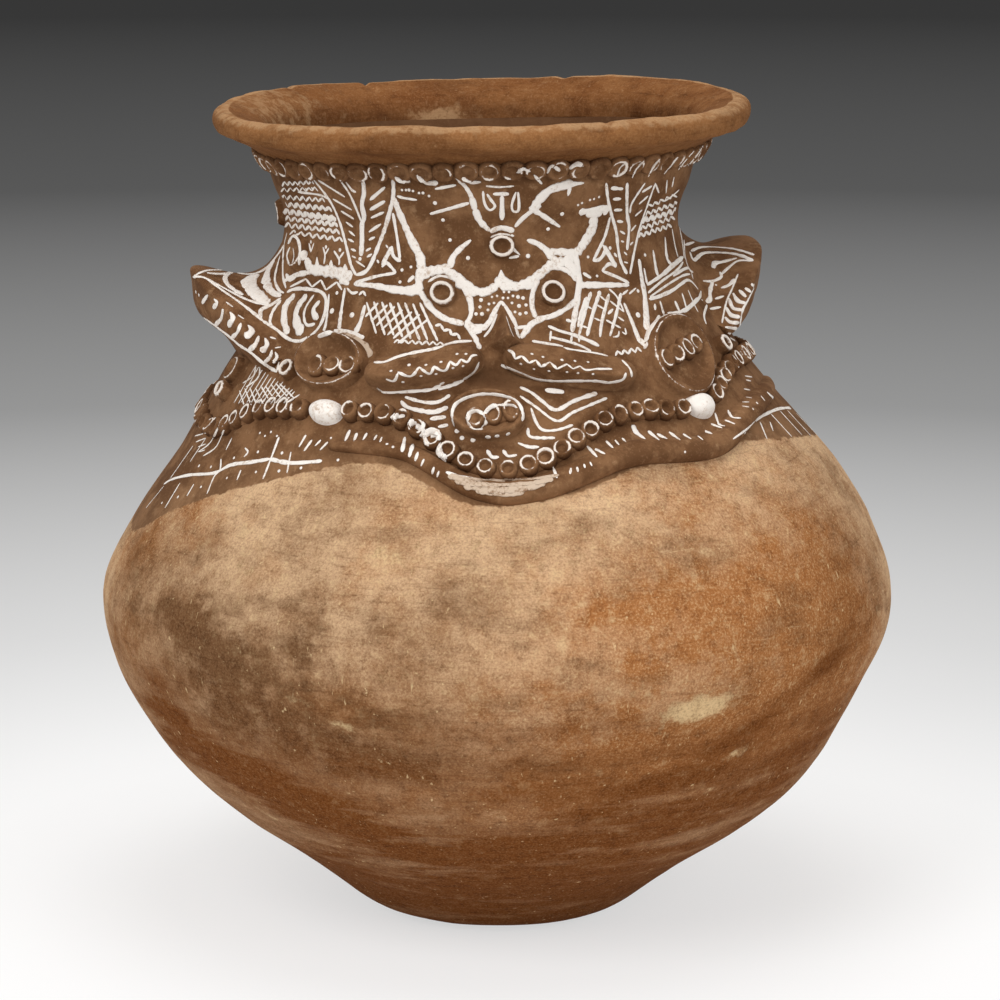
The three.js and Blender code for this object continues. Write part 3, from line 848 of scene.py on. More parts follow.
@dataclass
class Finishes:
    """All finishes of the jar, made once."""

    bare: tuple[BareClay, ...] = (
        BareClay(
            "belly_clay", srgb(213, 176, 138), srgb(170, 112, 65), srgb(116, 82, 54),
            srgb(228, 199, 152),
        ),
        BareClay(
            "lip_clay", srgb(145, 99, 60), srgb(118, 73, 39), srgb(84, 51, 28),
            srgb(190, 152, 112), 0.45,
        ),
        BareClay(
            "inside_clay", srgb(142, 70, 31), srgb(136, 61, 25), srgb(82, 52, 32),
            srgb(172, 142, 116), 0.4,
        ),
    )
    dark: BrownSlip = BrownSlip()
    chalk: ChalkLime = ChalkLime()
    dilute: ChalkLime = ChalkLime("lime_wash", srgb(206, 184, 162), srgb(138, 104, 76), 1.5)

    def __post_init__(self) -> None:
        """Makes the materials."""
        groups = Groups(clay_grain(), lime_wear(), ragged_edge())
        self.belly, self.lip, self.inside = [clay.material(groups) for clay in self.bare]
        self.slip = self.dark.material(groups)
        self.lime, self.wash = self.chalk.material(groups), self.dilute.material(groups)


@dataclass
class Solid:
    """A mesh that is being put together from vertices, faces and marks on its vertices."""

    spots: Array
    faces: list[Sequence[int]]
    marks: dict[str, Array] = field(default_factory=dict)
    skins: Array | None = None

    def mesh(self, name: str) -> Mesh:
        """Makes the mesh, with its faces outwards.

        Args:
            name: Name of the mesh.

        Returns:
            The mesh.
        """
        mesh = bpy.data.meshes.new(name)
        mesh.from_pydata(self.spots.tolist(), [], self.faces)
        mesh.validate()
        marks = {"edge": np.full(len(self.spots), FAR_FROM_EDGE), **self.marks}
        for label, values in marks.items():
            attribute = mesh.attributes.new(label, "FLOAT", "POINT")
            attribute.data.foreach_set("value", np.asarray(values, np.float32))
        smoothed(mesh)
        if self.skins is not None:
            mesh.polygons.foreach_set("material_index", self.skins)
            mesh.set_sharp_from_angle(angle=math.radians(SHARP_ANGLE))
        return mesh


def loop_faces(rows: int, columns: int, closed: bool = False) -> list[Sequence[int]]:
    """Quads between rows of vertices that close on themselves.

    Args:
        rows: How many rows.
        columns: Vertices in a row.
        closed: Whether the last row is joined to the first.

    Returns:
        Faces as vertex numbers.
    """
    j = np.arange(columns)
    k = (j + 1) % columns
    faces = []
    for i in range(rows if closed else rows - 1):
        low, high = i * columns, (i + 1) % rows * columns
        faces.extend(np.column_stack([low + j, low + k, high + k, high + j]).tolist())
    return faces


def shell_faces(rows: int, columns: int) -> list[Sequence[int]]:
    """Quads between rows of vertices, and fans that close both ends.

    Args:
        rows: How many rows.
        columns: Vertices in a row.

    Returns:
        Faces as vertex numbers, the fans in turn and their two poles numbered after the rows.
    """
    faces = loop_faces(rows, columns)
    pole, last = rows * columns, (rows - 1) * columns
    for j in range(columns):
        k = (j + 1) % columns
        faces += [(pole, k, j), (pole + 1, last + j, last + k)]
    return faces


def flipped(faces: list[Sequence[int]]) -> list[Sequence[int]]:
    """Faces that look the other way."""
    return [face[::-1] for face in faces]


def put(name: str, mesh: Mesh, slot: Slot, nodes: Sequence[str], *materials: Material) -> Piece:
    """Adds a piece to the jar.

    Args:
        name: Name of the piece.
        mesh: Its mesh, in place.
        slot: Its finish slot; not used.
        nodes: Nodes of the frame that it stands for.
        materials: Its materials.

    Returns:
        The piece.
    """
    piece = new_object(name, mesh)
    mesh.materials.clear()
    for material in materials:
        mesh.materials.append(material)
    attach(piece, BODY)
    if nodes:
        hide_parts(*nodes)
    LOG.info("%s: %d faces", name, len(mesh.polygons))
    return piece


@dataclass(frozen=True)
class Stain:
    """A soft stain on the wall: where it is seen, its reach along and up, its depth and lean."""

    px: float
    py: float
    along: float
    up: float
    depth: float = 1.0
    lean: float = 0.0

    def cover(self, wall: JarWall, view: FrontView, turn: Array, drop: Array) -> Array:
        """How much of the stain lies at each place.

        Args:
            wall: The wall.
            view: The view in which the stain is placed.
            turn: Turns of the places.
            drop: Drops of the places.

        Returns:
            Cover from 0 to the stain's depth.
        """
        middle, down = view.on_wall(wall, self.px, self.py)
        apart = (turn - middle + math.pi) % (2 * math.pi) - math.pi
        x, y = apart * wall.radius(drop), down - drop
        lean = math.radians(self.lean)
        u = (x * math.cos(lean) + y * math.sin(lean)) / self.along
        v = (y * math.cos(lean) - x * math.sin(lean)) / self.up
        return self.depth * np.exp(-(u * u + v * v))


@dataclass
class CoiledWall:
    """The coiled wall: a bare belly below the slip's edge, a slipped neck above, and the lip."""

    wall: JarWall
    view: FrontView
    sectors: int = 480
    belly_rows: int = 125
    neck_rows: int = 110
    inner_rows: int = 36
    edge_softness: int = 5
    edge_wander: float = 1.2
    edge_waves: float = 9.0
    edge_seed: int = 11
    slip_edge: Line = (
        (133, 537), (150, 522), (180, 505), (210, 496), (240, 487), (275, 479), (310, 472),
        (340, 465), (370, 461), (390, 464), (410, 472), (430, 485), (450, 497), (475, 505),
        (505, 508), (535, 505), (560, 500), (585, 491), (610, 480), (628, 470), (645, 462),
        (670, 460), (700, 458), (720, 450), (740, 442), (765, 439), (790, 438), (815, 436),
    )
    # soot of the firing on the belly; the same mark carries painted shade on other pieces
    soot_and_shade: Marks = (
        (230, 700, 100, 34, 0.9, -30), (320, 725, 90, 26, 0.8, -14), (360, 755, 70, 14, 0.6, -8),
        (318, 575, 20, 60, 0.5, 4), (430, 620, 34, 60, 0.4, 8), (190, 625, 60, 34, 0.6, -20),
        (280, 640, 90, 40, 0.45, -20), (130, 600, 40, 70, 0.55), (345, 490, 40, 26, 0.5, 6),
        (860, 540, 50, 60, 0.45), (560, 765, 150, 9, 0.5, 2), (620, 792, 110, 8, 0.45, 4),
        (420, 660, 50, 40, 0.35), (600, 545, 90, 16, 0.3),
    )
    burn_and_shade: Marks = (
        (240, 770, 110, 20, 0.5, -30), (330, 815, 120, 26, 0.45, -16), (160, 700, 24, 50, 0.5, -30),
        (700, 810, 130, 26, 0.4, 14), (800, 770, 50, 40, 0.35, 30), (420, 775, 60, 7, 0.35, -6),
        (120, 580, 14, 70, 0.4), (560, 730, 90, 8, 0.35), (850, 610, 40, 70, 0.35),
        (740, 735, 95, 10, 0.55, 28), (822, 668, 40, 9, 0.5, 22), (690, 777, 60, 8, 0.45, 18),
    )
    rust: Marks = (
        (770, 620, 130, 70, 0.75), (640, 610, 60, 34, 0.5), (840, 640, 60, 90, 0.7),
        (640, 770, 170, 34, 0.7, 6), (480, 700, 110, 30, 0.45), (700, 745, 90, 20, 0.7),
        (330, 710, 60, 18, 0.6, -12), (380, 545, 30, 40, 0.3), (150, 560, 50, 50, 0.4),
    )
    pale: Marks = (
        (702, 708, 20, 8, 0.8, 4), (690, 714, 36, 16, 0.25), (235, 570, 26, 12, 0.3),
        (500, 545, 110, 30, 0.2), (342, 726, 16, 4, 0.6, -14), (640, 690, 26, 8, 0.25),
        (385, 560, 16, 10, 0.35), (400, 680, 14, 8, 0.3), (268, 815, 22, 3.5, 0.5, -33),
        (292, 700, 16, 3, 0.4, -10), (756, 464, 3, 16, 0.5, -30), (734, 753, 9, 4, 0.6, 10),
        (709, 789, 6, 2.5, 0.6, 12),
    )
    # fire darkening and painted shade, in bands towards the foot
    foot_burn_and_shade: float = 0.6
    foot_dark_bands: Line = ((300, 200), (170, 80))
    belly_inner_soot: float = 0.6
    hollow: Stain = Stain(499, 374, 19, 7.5, 6.0)
    # painted shade: darker slip in the hollow under the beak and in the creases under the lobes and
    # the chin medallion
    crease_shade: Marks = (
        (492, 377, 18, 8, 0.75), (428, 394, 22, 2.6, 0.7, 8), (390, 393, 12, 2.4, 0.6),
        (560, 388, 26, 2.6, 0.7, -3), (606, 391, 18, 2.6, 0.6, 2), (500, 447, 22, 2.6, 0.4),
    )
    crease_shade_limit: float = 0.85
    tuck_band: Place = (30, 4)
    edge_rub: float = 0.12
    edge_rub_band: Place = (-30, 0)
    neck_inner_soot: float = 0.75
    # painted shade: darker deeper down inside the neck
    neck_deep_shade: float = 0.1
    neck_deep_band: Place = (6, 120)
    neck_inner_rust: float = 0.35
    residue: float = 0.6
    residue_side: Place = (-2.93, 0.22)
    residue_drops: Place = (34, 6)
    residue_heights: Place = (506, 492)
    flare: float = 24.5
    rise: float = 27.8
    tilt: float = 1.3
    roll: float = 8.0
    roll_sweep: Place = (-60, 110)
    roll_steps: int = 22
    side_steps: int = 9
    joint_steps: int = 4
    under_bow: float = 1.5
    throat_bow: float = 16.0
    lip_dents: Dents = ((1.5, 48, 21), (0.8, 17, 22), (0.3, 6, 23))
    nicks: tuple[Triple, ...] = (
        (-151, 2.6, 2.2), (-128, 1.2, 3.0), (28, 1.1, 2.4), (160, 1.4, 4.0),
    )
    nick_radius: float = 160.0
    nick_heights: Place = (503, 513)
    lip_rust: float = 0.6
    # painted highlight: paler clay on the top of the lip
    crest_highlight: float = 0.55
    crest_heights: Place = (505, 512)
    # darker towards the underside of the lip roll
    under_darkening: float = 0.55
    under_heights: Place = (500, 487)
    # painted shade: darker further down the inside of the lip
    lip_deep_shade: float = 0.7
    deep_heights: Place = (510, 494)
    # painted light: paler clay on the inside of the lip at the left, where light falls
    lit_inside: float = 0.42
    lit_inside_turn: Place = (-1.9, 0.55)

    @cached_property
    def turns(self) -> Array:
        """Turns of the sectors, from the back round the front."""
        return np.linspace(-math.pi, math.pi, self.sectors, endpoint=False)

    @cached_property
    def slip_drop(self) -> Array:
        """Drop of the slip's lower edge at each sector."""
        seen = sorted(self.view.on_wall(self.wall, px, py) for px, py in self.slip_edge)
        turn, drop = np.array(seen).T
        edge = np.interp(self.turns, turn, drop, period=2 * math.pi)
        soft = self.edge_softness
        spread = np.ones(2 * soft + 1) / (2 * soft + 1)
        padded = np.concatenate([edge[-soft:], edge, edge[:soft]])
        circle = np.column_stack([np.sin(self.turns), np.cos(self.turns), np.zeros(self.sectors)])
        wander = self.edge_wander * lumps(circle * self.edge_waves, self.edge_seed)
        return np.convolve(padded, spread, "valid") + wander

    def rows(self, start: Array, end: Array, count: int) -> tuple[Array, Array]:
        """Lays rows from one edge of the wall to another.

        Args:
            start: Drops of the first edge.
            end: Drops of the other edge.
            count: Number of rows.

        Returns:
            Turns and drops.
        """
        share = np.linspace(0, 1, count)[:, None]
        drop = start + (end - start) * share
        return np.broadcast_to(self.turns, drop.shape), drop

    def stained(self, stains: Marks, turn: Array, drop: Array) -> Array:
        """Cover of several stains together."""
        return sum(Stain(*stain).cover(self.wall, self.view, turn, drop) for stain in stains)

    def build(self, finishes: Finishes) -> list[Piece]:
        """Builds the belly, the neck and the lip."""
        return [self.build_belly(finishes), self.build_neck(finishes), self.build_lip(finishes)]

    def build_belly(self, finishes: Finishes) -> Piece:
        """Builds the bare belly with its base, as one closed shell.

        Args:
            finishes: The finishes.

        Returns:
            The piece.
        """
        wall = self.wall
        foot = np.full(self.sectors, wall.length)
        turn, drop = self.rows(foot, self.slip_drop, self.belly_rows)
        inner_turn, inner_drop = self.rows(self.slip_drop, foot, self.inner_rows)
        outer = wall.place(turn, drop, 0.0)
        inner = wall.place(inner_turn, inner_drop, -wall.thickness)
        poles = np.array([[0, 0, 0], [0, 0, wall.thickness * MM]])
        rows = self.belly_rows + self.inner_rows
        faces = shell_faces(rows, self.sectors)
        skins = np.ones(len(faces), np.int32)
        skins[: (self.belly_rows - 1) * self.sectors] = 0
        skins[(rows - 1) * self.sectors :: 2] = 0  # the fan of the base
        inside = np.full(inner_turn.size + len(poles), self.belly_inner_soot)
        far = np.full(inside.size, FAR_FROM_EDGE)
        marks = {"edge": np.concatenate([(drop - self.slip_drop).ravel(), far])}
        for kind in ("soot_and_shade", "rust", "pale", "burn_and_shade"):
            cover = self.stained(getattr(self, kind), turn, drop)
            if kind == "burn_and_shade":
                # fire darkening and painted shade towards the foot
                for start, full in self.foot_dark_bands:
                    band = ease(drop, wall.length - start, wall.length - full)
                    cover = cover + self.foot_burn_and_shade * band
            marks[kind] = np.concatenate([cover.ravel(), inside if kind == "soot_and_shade" else inside * 0])
        mesh = Solid(np.concatenate([outer, inner, poles]), faces, marks, skins).mesh("belly_wall")
        nodes = ["base_cup", *(f"coil_course_{i}" for i in range(1, 6))]
        return put("belly_wall", mesh, Slot.CLAY, nodes, finishes.belly, finishes.inside)

    def build_neck(self, finishes: Finishes) -> Piece:
        """Builds the slipped shoulder and neck, as one closed ring.

        Args:
            finishes: The finishes.

        Returns:
            The piece.
        """
        wall = self.wall
        throat = np.zeros(self.sectors)
        turn, drop = self.rows(self.slip_drop, throat, self.neck_rows)
        inner_turn, inner_drop = self.rows(throat, self.slip_drop, self.inner_rows)
        hollow = self.hollow.cover(wall, self.view, turn, drop)
        outer = wall.place(turn, drop, -hollow - THROAT_TUCK * ease(drop, *self.tuck_band))
        inner = wall.place(inner_turn, inner_drop, -wall.thickness)
        faces = loop_faces(self.neck_rows + self.inner_rows, self.sectors, True)
        skins = np.ones(len(faces), np.int32)
        skins[: (self.neck_rows - 1) * self.sectors] = 0
        past = drop - self.slip_drop
        # painted shade in the hollow under the beak and in the creases under the lobes
        crease_shade = np.clip(self.stained(self.crease_shade, turn, drop), 0, self.crease_shade_limit)
        rub = self.edge_rub * ease(past, *self.edge_rub_band)
        # painted shade, darker deeper inside the neck
        deep_shade = self.neck_deep_shade * ease(inner_drop, *self.neck_deep_band)
        residue = hump(inner_turn, *self.residue_side) * ease(inner_drop, *self.residue_drops)
        none, within = np.zeros(drop.shape), np.ones(inner_drop.shape)
        covers = {
            "edge": (-past, FAR_FROM_EDGE * within),
            "soot_and_shade": (crease_shade, self.neck_inner_soot + deep_shade),
            "rust": (none, self.neck_inner_rust * within),
            "pale": (none, self.residue * residue),
            "rub": (rub, 0 * within),
        }
        marks = {
            kind: np.concatenate([outside.ravel(), inside.ravel()])
            for kind, (outside, inside) in covers.items()
        }
        mesh = Solid(np.concatenate([outer, inner]), faces, marks, skins).mesh("neck_wall")
        nodes = [f"coil_course_{i}" for i in range(6, 10)]
        return put("neck_wall", mesh, Slot.SLIP, nodes, finishes.slip, finishes.inside)

    def lip_section(self) -> tuple[Array, Array]:
        """Draws the lip's section: its underside, its roll, its inner side and its joint.

        Returns:
            Rows of radius and height, and how free of the joint each of them is.
        """
        depths = np.array([0, -self.wall.thickness])
        (outer_r, inner_r), (outer_z, inner_z) = self.wall.at(np.zeros(2), depths)
        middle = np.array([outer_r + self.flare - self.roll, outer_z + self.rise - self.roll])
        sweep = np.radians(np.linspace(*self.roll_sweep, self.roll_steps))
        rolled = middle + self.roll * np.column_stack([np.cos(sweep), np.sin(sweep)])
        share = np.linspace(0, 1, self.side_steps)[:, None]
        outer, inner = np.array([outer_r - THROAT_TUCK, outer_z]), np.array([inner_r, inner_z])
        bow = np.sin(math.pi * share) * (-self.under_bow, self.under_bow)
        under = outer + (rolled[0] - outer) * share + bow
        throat = np.array([inner_r, inner_z + self.throat_bow])
        within = (1 - share) ** 2 * rolled[-1] + 2 * share * (1 - share) * throat + share**2 * inner
        joint = inner + (outer - inner) * np.linspace(0, 1, self.joint_steps)[1:-1, None]
        fixed = np.zeros(len(joint))
        free = np.concatenate([share[:, 0], np.ones(len(rolled) - 2), 1 - share[:, 0], fixed])
        return np.concatenate([under, rolled[1:-1], within, joint]), free

    def build_lip(self, finishes: Finishes) -> Piece:
        """Builds the thick rolled lip.

        Args:
            finishes: The finishes.

        Returns:
            The piece.
        """
        section, free = self.lip_section()
        out, up = section.T
        turn = np.repeat(self.turns[:, None], len(section), axis=1)
        rough = dented((np.sin(turn) * out, np.cos(turn) * out, up + 0 * turn), self.lip_dents)
        rolled = slice(self.side_steps, self.side_steps + self.roll_steps)
        outward = unit(section - section[rolled].mean(axis=0))
        radius = out + outward[:, 0] * rough * free
        height = up + outward[:, 1] * rough * free - self.tilt * np.cos(turn) * free
        top = ease(up, *self.nick_heights)
        for place, depth, width in self.nicks:
            apart = (turn - math.radians(place)) * self.nick_radius / width
            height = height - depth * top * np.exp(-(apart**2))
        step = np.arange(len(section))
        inside = step >= self.side_steps + self.roll_steps - 2
        skins = np.tile((inside & (step < len(section) - 1)).astype(np.int32), self.sectors)
        # painted light on the inside of the lip at the left
        lit_inside = self.lit_inside * hump(turn, *self.lit_inside_turn)
        residue = hump(turn, *self.residue_side) * ease(up, *self.residue_heights)
        # painted highlight on the top of the lip
        crest = self.crest_highlight * ease(up, *self.crest_heights) * ~inside
        # darker towards the underside of the lip
        under = self.under_darkening * (ease(up, *self.under_heights) * ~inside)
        # painted shade, darker further down the inside
        deep_shade = self.lip_deep_shade * (ease(up, *self.deep_heights) * inside)
        covers = {
            "rust": self.lip_rust * inside,
            "pale": crest + (lit_inside + self.residue * residue) * inside,
            "soot_and_shade": under + deep_shade,
        }
        marks = {kind: np.broadcast_to(cover, turn.shape).ravel() for kind, cover in covers.items()}
        faces = flipped(loop_faces(self.sectors, len(section), True))
        mesh = Solid(self.wall.turned(turn, radius, height), faces, marks, skins).mesh("lip")
        return put("lip", mesh, Slot.CLAY, ["rim_lip"], finishes.lip, finishes.inside)


@dataclass(frozen=True)
class Pat:
    """A pat of clay pressed on the wall, by its edge, its face and where lime was put on it."""

    across: float
    drop: float
    reach: Rule
    face: Face
    lime: Cover | None = None
    lean: float = 0.0
    sectors: int = 72
    rings: int = 22
    rough: float = 0.25
    dents: Dents = ((1.0, 6.5, 31), (0.5, 2.6, 32))
    crowding: float = 0.85
    clean_edge: int = 8

    def solid(self, wall: JarWall) -> Solid:
        """Builds the pat as a closed solid seated in the wall.

        Args:
            wall: The wall that carries it.

        Returns:
            The solid.
        """
        way = np.linspace(0, 2 * math.pi, self.sectors, endpoint=False)
        share = np.linspace(0, 1, self.rings + 1)[1:, None] ** self.crowding
        reach = self.reach(way)
        x, y = share * reach * np.cos(way), share * reach * np.sin(way)
        cos, sin = math.cos(math.radians(self.lean)), math.sin(math.radians(self.lean))
        across, up = x * cos - y * sin, x * sin + y * cos
        lift = self.face(share, x, y)
        rough = self.rough * dented((across + self.across, up - self.drop, lift), self.dents)
        lift = lift + rough * (1 - share**self.clean_edge)
        top = wall.lay(self.across, self.drop, across, up, lift)
        low = wall.lay(self.across, self.drop, across[-1], up[-1], np.full(self.sectors, SINK))
        middle = np.array([float(lift[0].mean()), SINK])
        poles = wall.lay(self.across, self.drop, np.zeros(2), np.zeros(2), middle)
        faces = flipped(shell_faces(self.rings + 1, self.sectors))
        lime = np.zeros(len(top) + len(low) + len(poles))
        if self.lime is not None:
            lime[: len(top)] = np.broadcast_to(self.lime(share, way), x.shape).ravel()
            lime[-2] = float(np.ravel(self.lime(np.zeros(1), np.zeros(1)))[0])
        return Solid(np.concatenate([top, low, poles]), faces, {"lime": lime})

    def press(self, name: str, wall: JarWall, finish: Material, slot: Slot = Slot.SLIP) -> Piece:
        """Presses the pat on the wall, as the piece of a name."""
        return put(name, self.solid(wall).mesh(name), slot, [name], finish)


def oval(width: float, length: float, lean: float = 0.0) -> Rule:
    """Edge of an oval, by direction; a positive lean turns its top to the right."""
    turn = math.radians(lean)
    return lambda way: 1 / np.hypot(2 * np.cos(way + turn) / width, 2 * np.sin(way + turn) / length)


def pod(length: float, half: float, bluntness: float) -> Rule:
    """Edge of a leaf with blunt ends, by direction."""
    return lambda way: (
        np.abs(2 * np.cos(way) / length) ** bluntness + np.abs(np.sin(way) / half) ** bluntness
    ) ** (-1 / bluntness)


def kite(half_width: float, up: float, down: float) -> Rule:
    """Edge of a kite with its corners on the axes, by direction."""
    return lambda way: 1 / (
        np.abs(np.cos(way)) / half_width
        + np.abs(np.sin(way)) / np.where(np.sin(way) > 0, up, down)
    )


def profile(points: Sequence[Place]) -> Face:
    """Face of a pat whose height depends on the share of the way out only."""
    return lambda share, x, y: smooth_run(points, np.broadcast_to(share, x.shape))


def ring_of_lime(crest: float, spread: float, cover: float = 1.0) -> Cover:
    """Lime on a ring at a share of the way out."""
    return lambda share, way: cover * hump(share, crest, spread) + 0 * way


@dataclass
class SpiritFace:
    """The face: hollow buttons, a beak and two leaf lobes."""

    wall: JarWall
    button_width: float = 16.4
    button_face: Line = (
        (0, 1.6), (0.3, 1.7), (0.46, 2.6), (0.7, 5.5), (0.84, 4.9), (1, SINK),
    )
    button_lime: Place = (0.74, 0.17)
    buttons: Rows = (
        ("forehead_button", 1.2, 51), ("eye_button_left", -35.8, 80.4),
        ("eye_button_right", 29.2, 80.6),
    )
    nose_across: float = -1.0
    nose_drop: float = 112.0
    nose_half: float = 12.5
    nose_bridge: float = 29.0
    nose_foot: float = 8.5
    nose_height: float = 20.0
    nose_hollow: float = 1.4
    nose_rough: float = 0.12
    nose_rings: int = 30
    lobes: Rows = (
        (Hand.LEFT, -52.5, 73.0, 13.0), (Hand.RIGHT, 36.5, 82.0, -13.0),
    )
    lobe_drop: float = 128.0
    lobe_half: float = 12.0
    lobe_bluntness: float = 2.8
    lobe_upper: float = 7.0
    lobe_lower: float = 19.0
    lobe_hollow: Triple = (0.8, 0.45, 0.35)
    lobe_edge: int = 14
    lobe_sectors: int = 144
    lobe_rings: int = 26

    def build(self, finishes: Finishes) -> list[Piece]:
        """Builds the face's pieces.

        Args:
            finishes: The finishes.

        Returns:
            The pieces.
        """
        wall, slip = self.wall, finishes.slip
        edge = oval(self.button_width, self.button_width)
        face, lime = profile(self.button_face), ring_of_lime(*self.button_lime)
        pieces = [
            Pat(across, drop, edge, face, lime).press(name, wall, slip)
            for name, across, drop in self.buttons
        ]
        edge = kite(self.nose_half, self.nose_bridge, self.nose_foot)
        make = {"rings": self.nose_rings, "rough": self.nose_rough}
        nose = Pat(self.nose_across, self.nose_drop, edge, self.nose_face, **make)
        pieces.append(nose.press("nose_beak", wall, slip))
        make = {"sectors": self.lobe_sectors, "rings": self.lobe_rings}
        for hand, across, length, lean in self.lobes:
            edge = pod(length, self.lobe_half, self.lobe_bluntness)
            lobe = Pat(across, self.lobe_drop, edge, self.lobe_face, lean=lean, **make)
            pieces.append(lobe.press(f"mouth_lobe_{hand.value}", wall, slip))
        return pieces

    def nose_face(self, share: Array, x: Array, y: Array) -> Array:
        """Height of the beak: a crest down its middle between hollow flanks."""
        return SINK + (self.nose_height - SINK) * (1 - share) ** self.nose_hollow + 0 * x

    def lobe_face(self, share: Array, x: Array, y: Array) -> Array:
        """Height of a lobe: a flat leaf that stands off further at its lower edge.

        Args:
            share: Shares of the way out.
            x: Places along the lobe; not used.
            y: Places up the lobe.

        Returns:
            Heights off the wall.
        """
        tilt = np.clip(0.5 - y / (2 * self.lobe_half), 0, 1)
        flat = self.lobe_upper + (self.lobe_lower - self.lobe_upper) * tilt
        depth, middle, spread = self.lobe_hollow
        hollow = depth * hump(share, middle, spread)
        edge = share**self.lobe_edge
        return (flat - hollow) * (1 - edge) + SINK * edge


@dataclass
class Saucers:
    """Rimmed saucers of the cheeks and chin with their dimpled strips, and the small ones."""

    wall: JarWall
    floor: float = 4.5
    large_face: Line = (
        (0, 4.5), (0.58, 4.5), (0.72, 5.85), (0.87, 9), (0.95, 7.2), (1, SINK),
    )
    large_lime: Triple = (0.91, 0.035, 0.62)
    large: Rows = (
        ("cheek_saucer_left", -114, 129, 51, 38, 0), ("cheek_saucer_right", 115, 129, 50, 60, 40),
        ("chin_medallion", -16.5, 158, 45, 32, 0),
    )
    large_rings: int = 28
    plain: str = "chin_medallion"
    strips: Rows = (
        ("cheek_strip_left", 4.5, 3.5, 17.5, 6, 3), ("cheek_strip_right", -3.0, -2.4, 18.5, 13, 4),
        ("chin_strip", 3.0, 1.0, 15.3, 12, 3),
    )
    strip_breadth: float = 14.0
    strip_height: float = 4.6
    strip_lime: float = 0.62
    pellet_face: Line = (
        (0, 2.4), (0.28, 2.6), (0.5, 5.2), (0.66, 7), (0.84, 5.6), (1, SINK),
    )
    pellet_lime: Place = (0.68, 0.2)
    pellets: Rows = (
        ("temple_pellet_left", 6.6, -148.5, 138), ("temple_pellet_right", 6.6, 167, 128.5),
        ("side_pellet", 6.6, -229, 164),
    )
    small_face: Line = (
        (0, 2), (0.45, 2), (0.6, 3.25), (0.73, 4.5), (0.88, 3.15), (1, SINK),
    )
    small_lime: Triple = (0.78, 0.06, 0.8)
    small: Rows = (
        ("neck_saucer", 12.5, -151, 64), ("upper_saucer", 9.5, -196, 45),
        ("side_saucer", 9.5, -224, 149),
    )

    def build(self, finishes: Finishes, beads: BeadRow) -> list[Piece]:
        """Builds the saucers.

        Args:
            finishes: The finishes.
            beads: Maker of dimpled strips.

        Returns:
            The pieces.
        """
        wall, slip = self.wall, finishes.slip
        pieces = []
        for (name, across, drop, *edge), strip in zip(self.large, self.strips):
            lime = None if name == self.plain else ring_of_lime(*self.large_lime)
            face = profile(self.large_face)
            pat = Pat(across, drop, oval(*edge), face, lime, rings=self.large_rings)
            pieces.append(pat.press(name, wall, slip))
            name, right, down, half, slope, dimples = strip
            climb = half * math.tan(math.radians(slope))
            middle, low = across + right, drop + down
            path = WallPath(wall, ((middle - half, low + climb), (middle + half, low - climb)))
            size = (self.strip_breadth, self.strip_height, self.strip_lime, self.floor)
            pressed = PressedStrip(name, path, 0, path.length, dimples, *size)
            pieces.append(beads.press(pressed, slip))
        for round_ones, face, lime in (
            (self.pellets, self.pellet_face, self.pellet_lime),
            (self.small, self.small_face, self.small_lime),
        ):
            for name, radius, across, drop in round_ones:
                edge = oval(2 * radius, 2 * radius)
                pat = Pat(across, drop, edge, profile(face), ring_of_lime(*lime))
                pieces.append(pat.press(name, wall, slip))
        return pieces


@dataclass(frozen=True)
class WallPath:
    """A path on the wall through places of across and drop."""

    wall: JarWall
    places: Line
    sheet_drop: float = 161.0
    steps: int = 80

    @property
    def sheet(self) -> float:
        """Radius of the sheet that the path is drawn on."""
        return float(self.wall.radius(self.sheet_drop))

    @cached_property
    def line(self) -> Array:
        """Rows of distance along, place on the sheet, and direction."""
        across, drop = np.array(self.places, float).T
        flat = np.column_stack([self.sheet * across / self.wall.radius(drop), -drop])
        spots = bent_line(flat, self.steps)
        return np.column_stack([distances(spots), spots, unit(np.gradient(spots, axis=0))])

    @property
    def length(self) -> float:
        """Distance along the whole path."""
        return float(self.line[-1, 0])

    def station(self, index: int) -> float:
        """Distance along to one of the places."""
        return float(self.line[index * self.steps, 0])

    def sweep(self, run: Array, across: Array, lift: Array) -> Array:
        """Places points beside the path.

        Args:
            run: Distances along, one for each row.
            across: Distances to the upper side, rows by columns.
            lift: Heights off the wall, rows by columns.

        Returns:
            Rows of coordinates in metres.
        """
        columns = [np.interp(run, self.line[:, 0], self.line[:, i]) for i in range(1, 5)]
        x, y, tx, ty = [column[:, None] for column in columns]
        down = -y - tx * across
        face_turn = math.radians(self.wall.face_turn)
        turn = x / self.sheet - ty * across / self.wall.radius(down) + face_turn
        return self.wall.place(turn, down, lift)

    def strip(self, run: Array, across: Array, lift: Array) -> Solid:
        """Builds a closed strip from the rows of its section.

        Args:
            run: Distances along, one for each row.
            across: Places across the section, rows by columns.
            lift: Heights of the section, rows by columns.

        Returns:
            The solid.
        """
        rows, columns = across.shape
        spots = self.sweep(run, across, lift)
        ends = np.stack([spots[:columns].mean(axis=0), spots[-columns:].mean(axis=0)])
        spots = np.concatenate([spots, ends])
        return Solid(spots, shell_faces(rows, columns), {"lime": np.zeros(len(spots))})

    def stations(self, run: Array, lift: float, probe: float = 1.0) -> tuple[Array, Array, Array]:
        """Reads places on the path.

        Args:
            run: Distances along.
            lift: Height off the wall.
            probe: Distance over which directions are read.

        Returns:
            Spots, and the directions off the wall and along the path.
        """
        zero = np.zeros((len(run), 1))
        seat = zero + lift
        spot = self.sweep(run, zero, seat)
        off = self.sweep(run, zero, seat + 2 * probe) - spot
        on = self.sweep(run + probe, zero, seat) - self.sweep(run - probe, zero, seat)
        return spot, unit(off), unit(on)


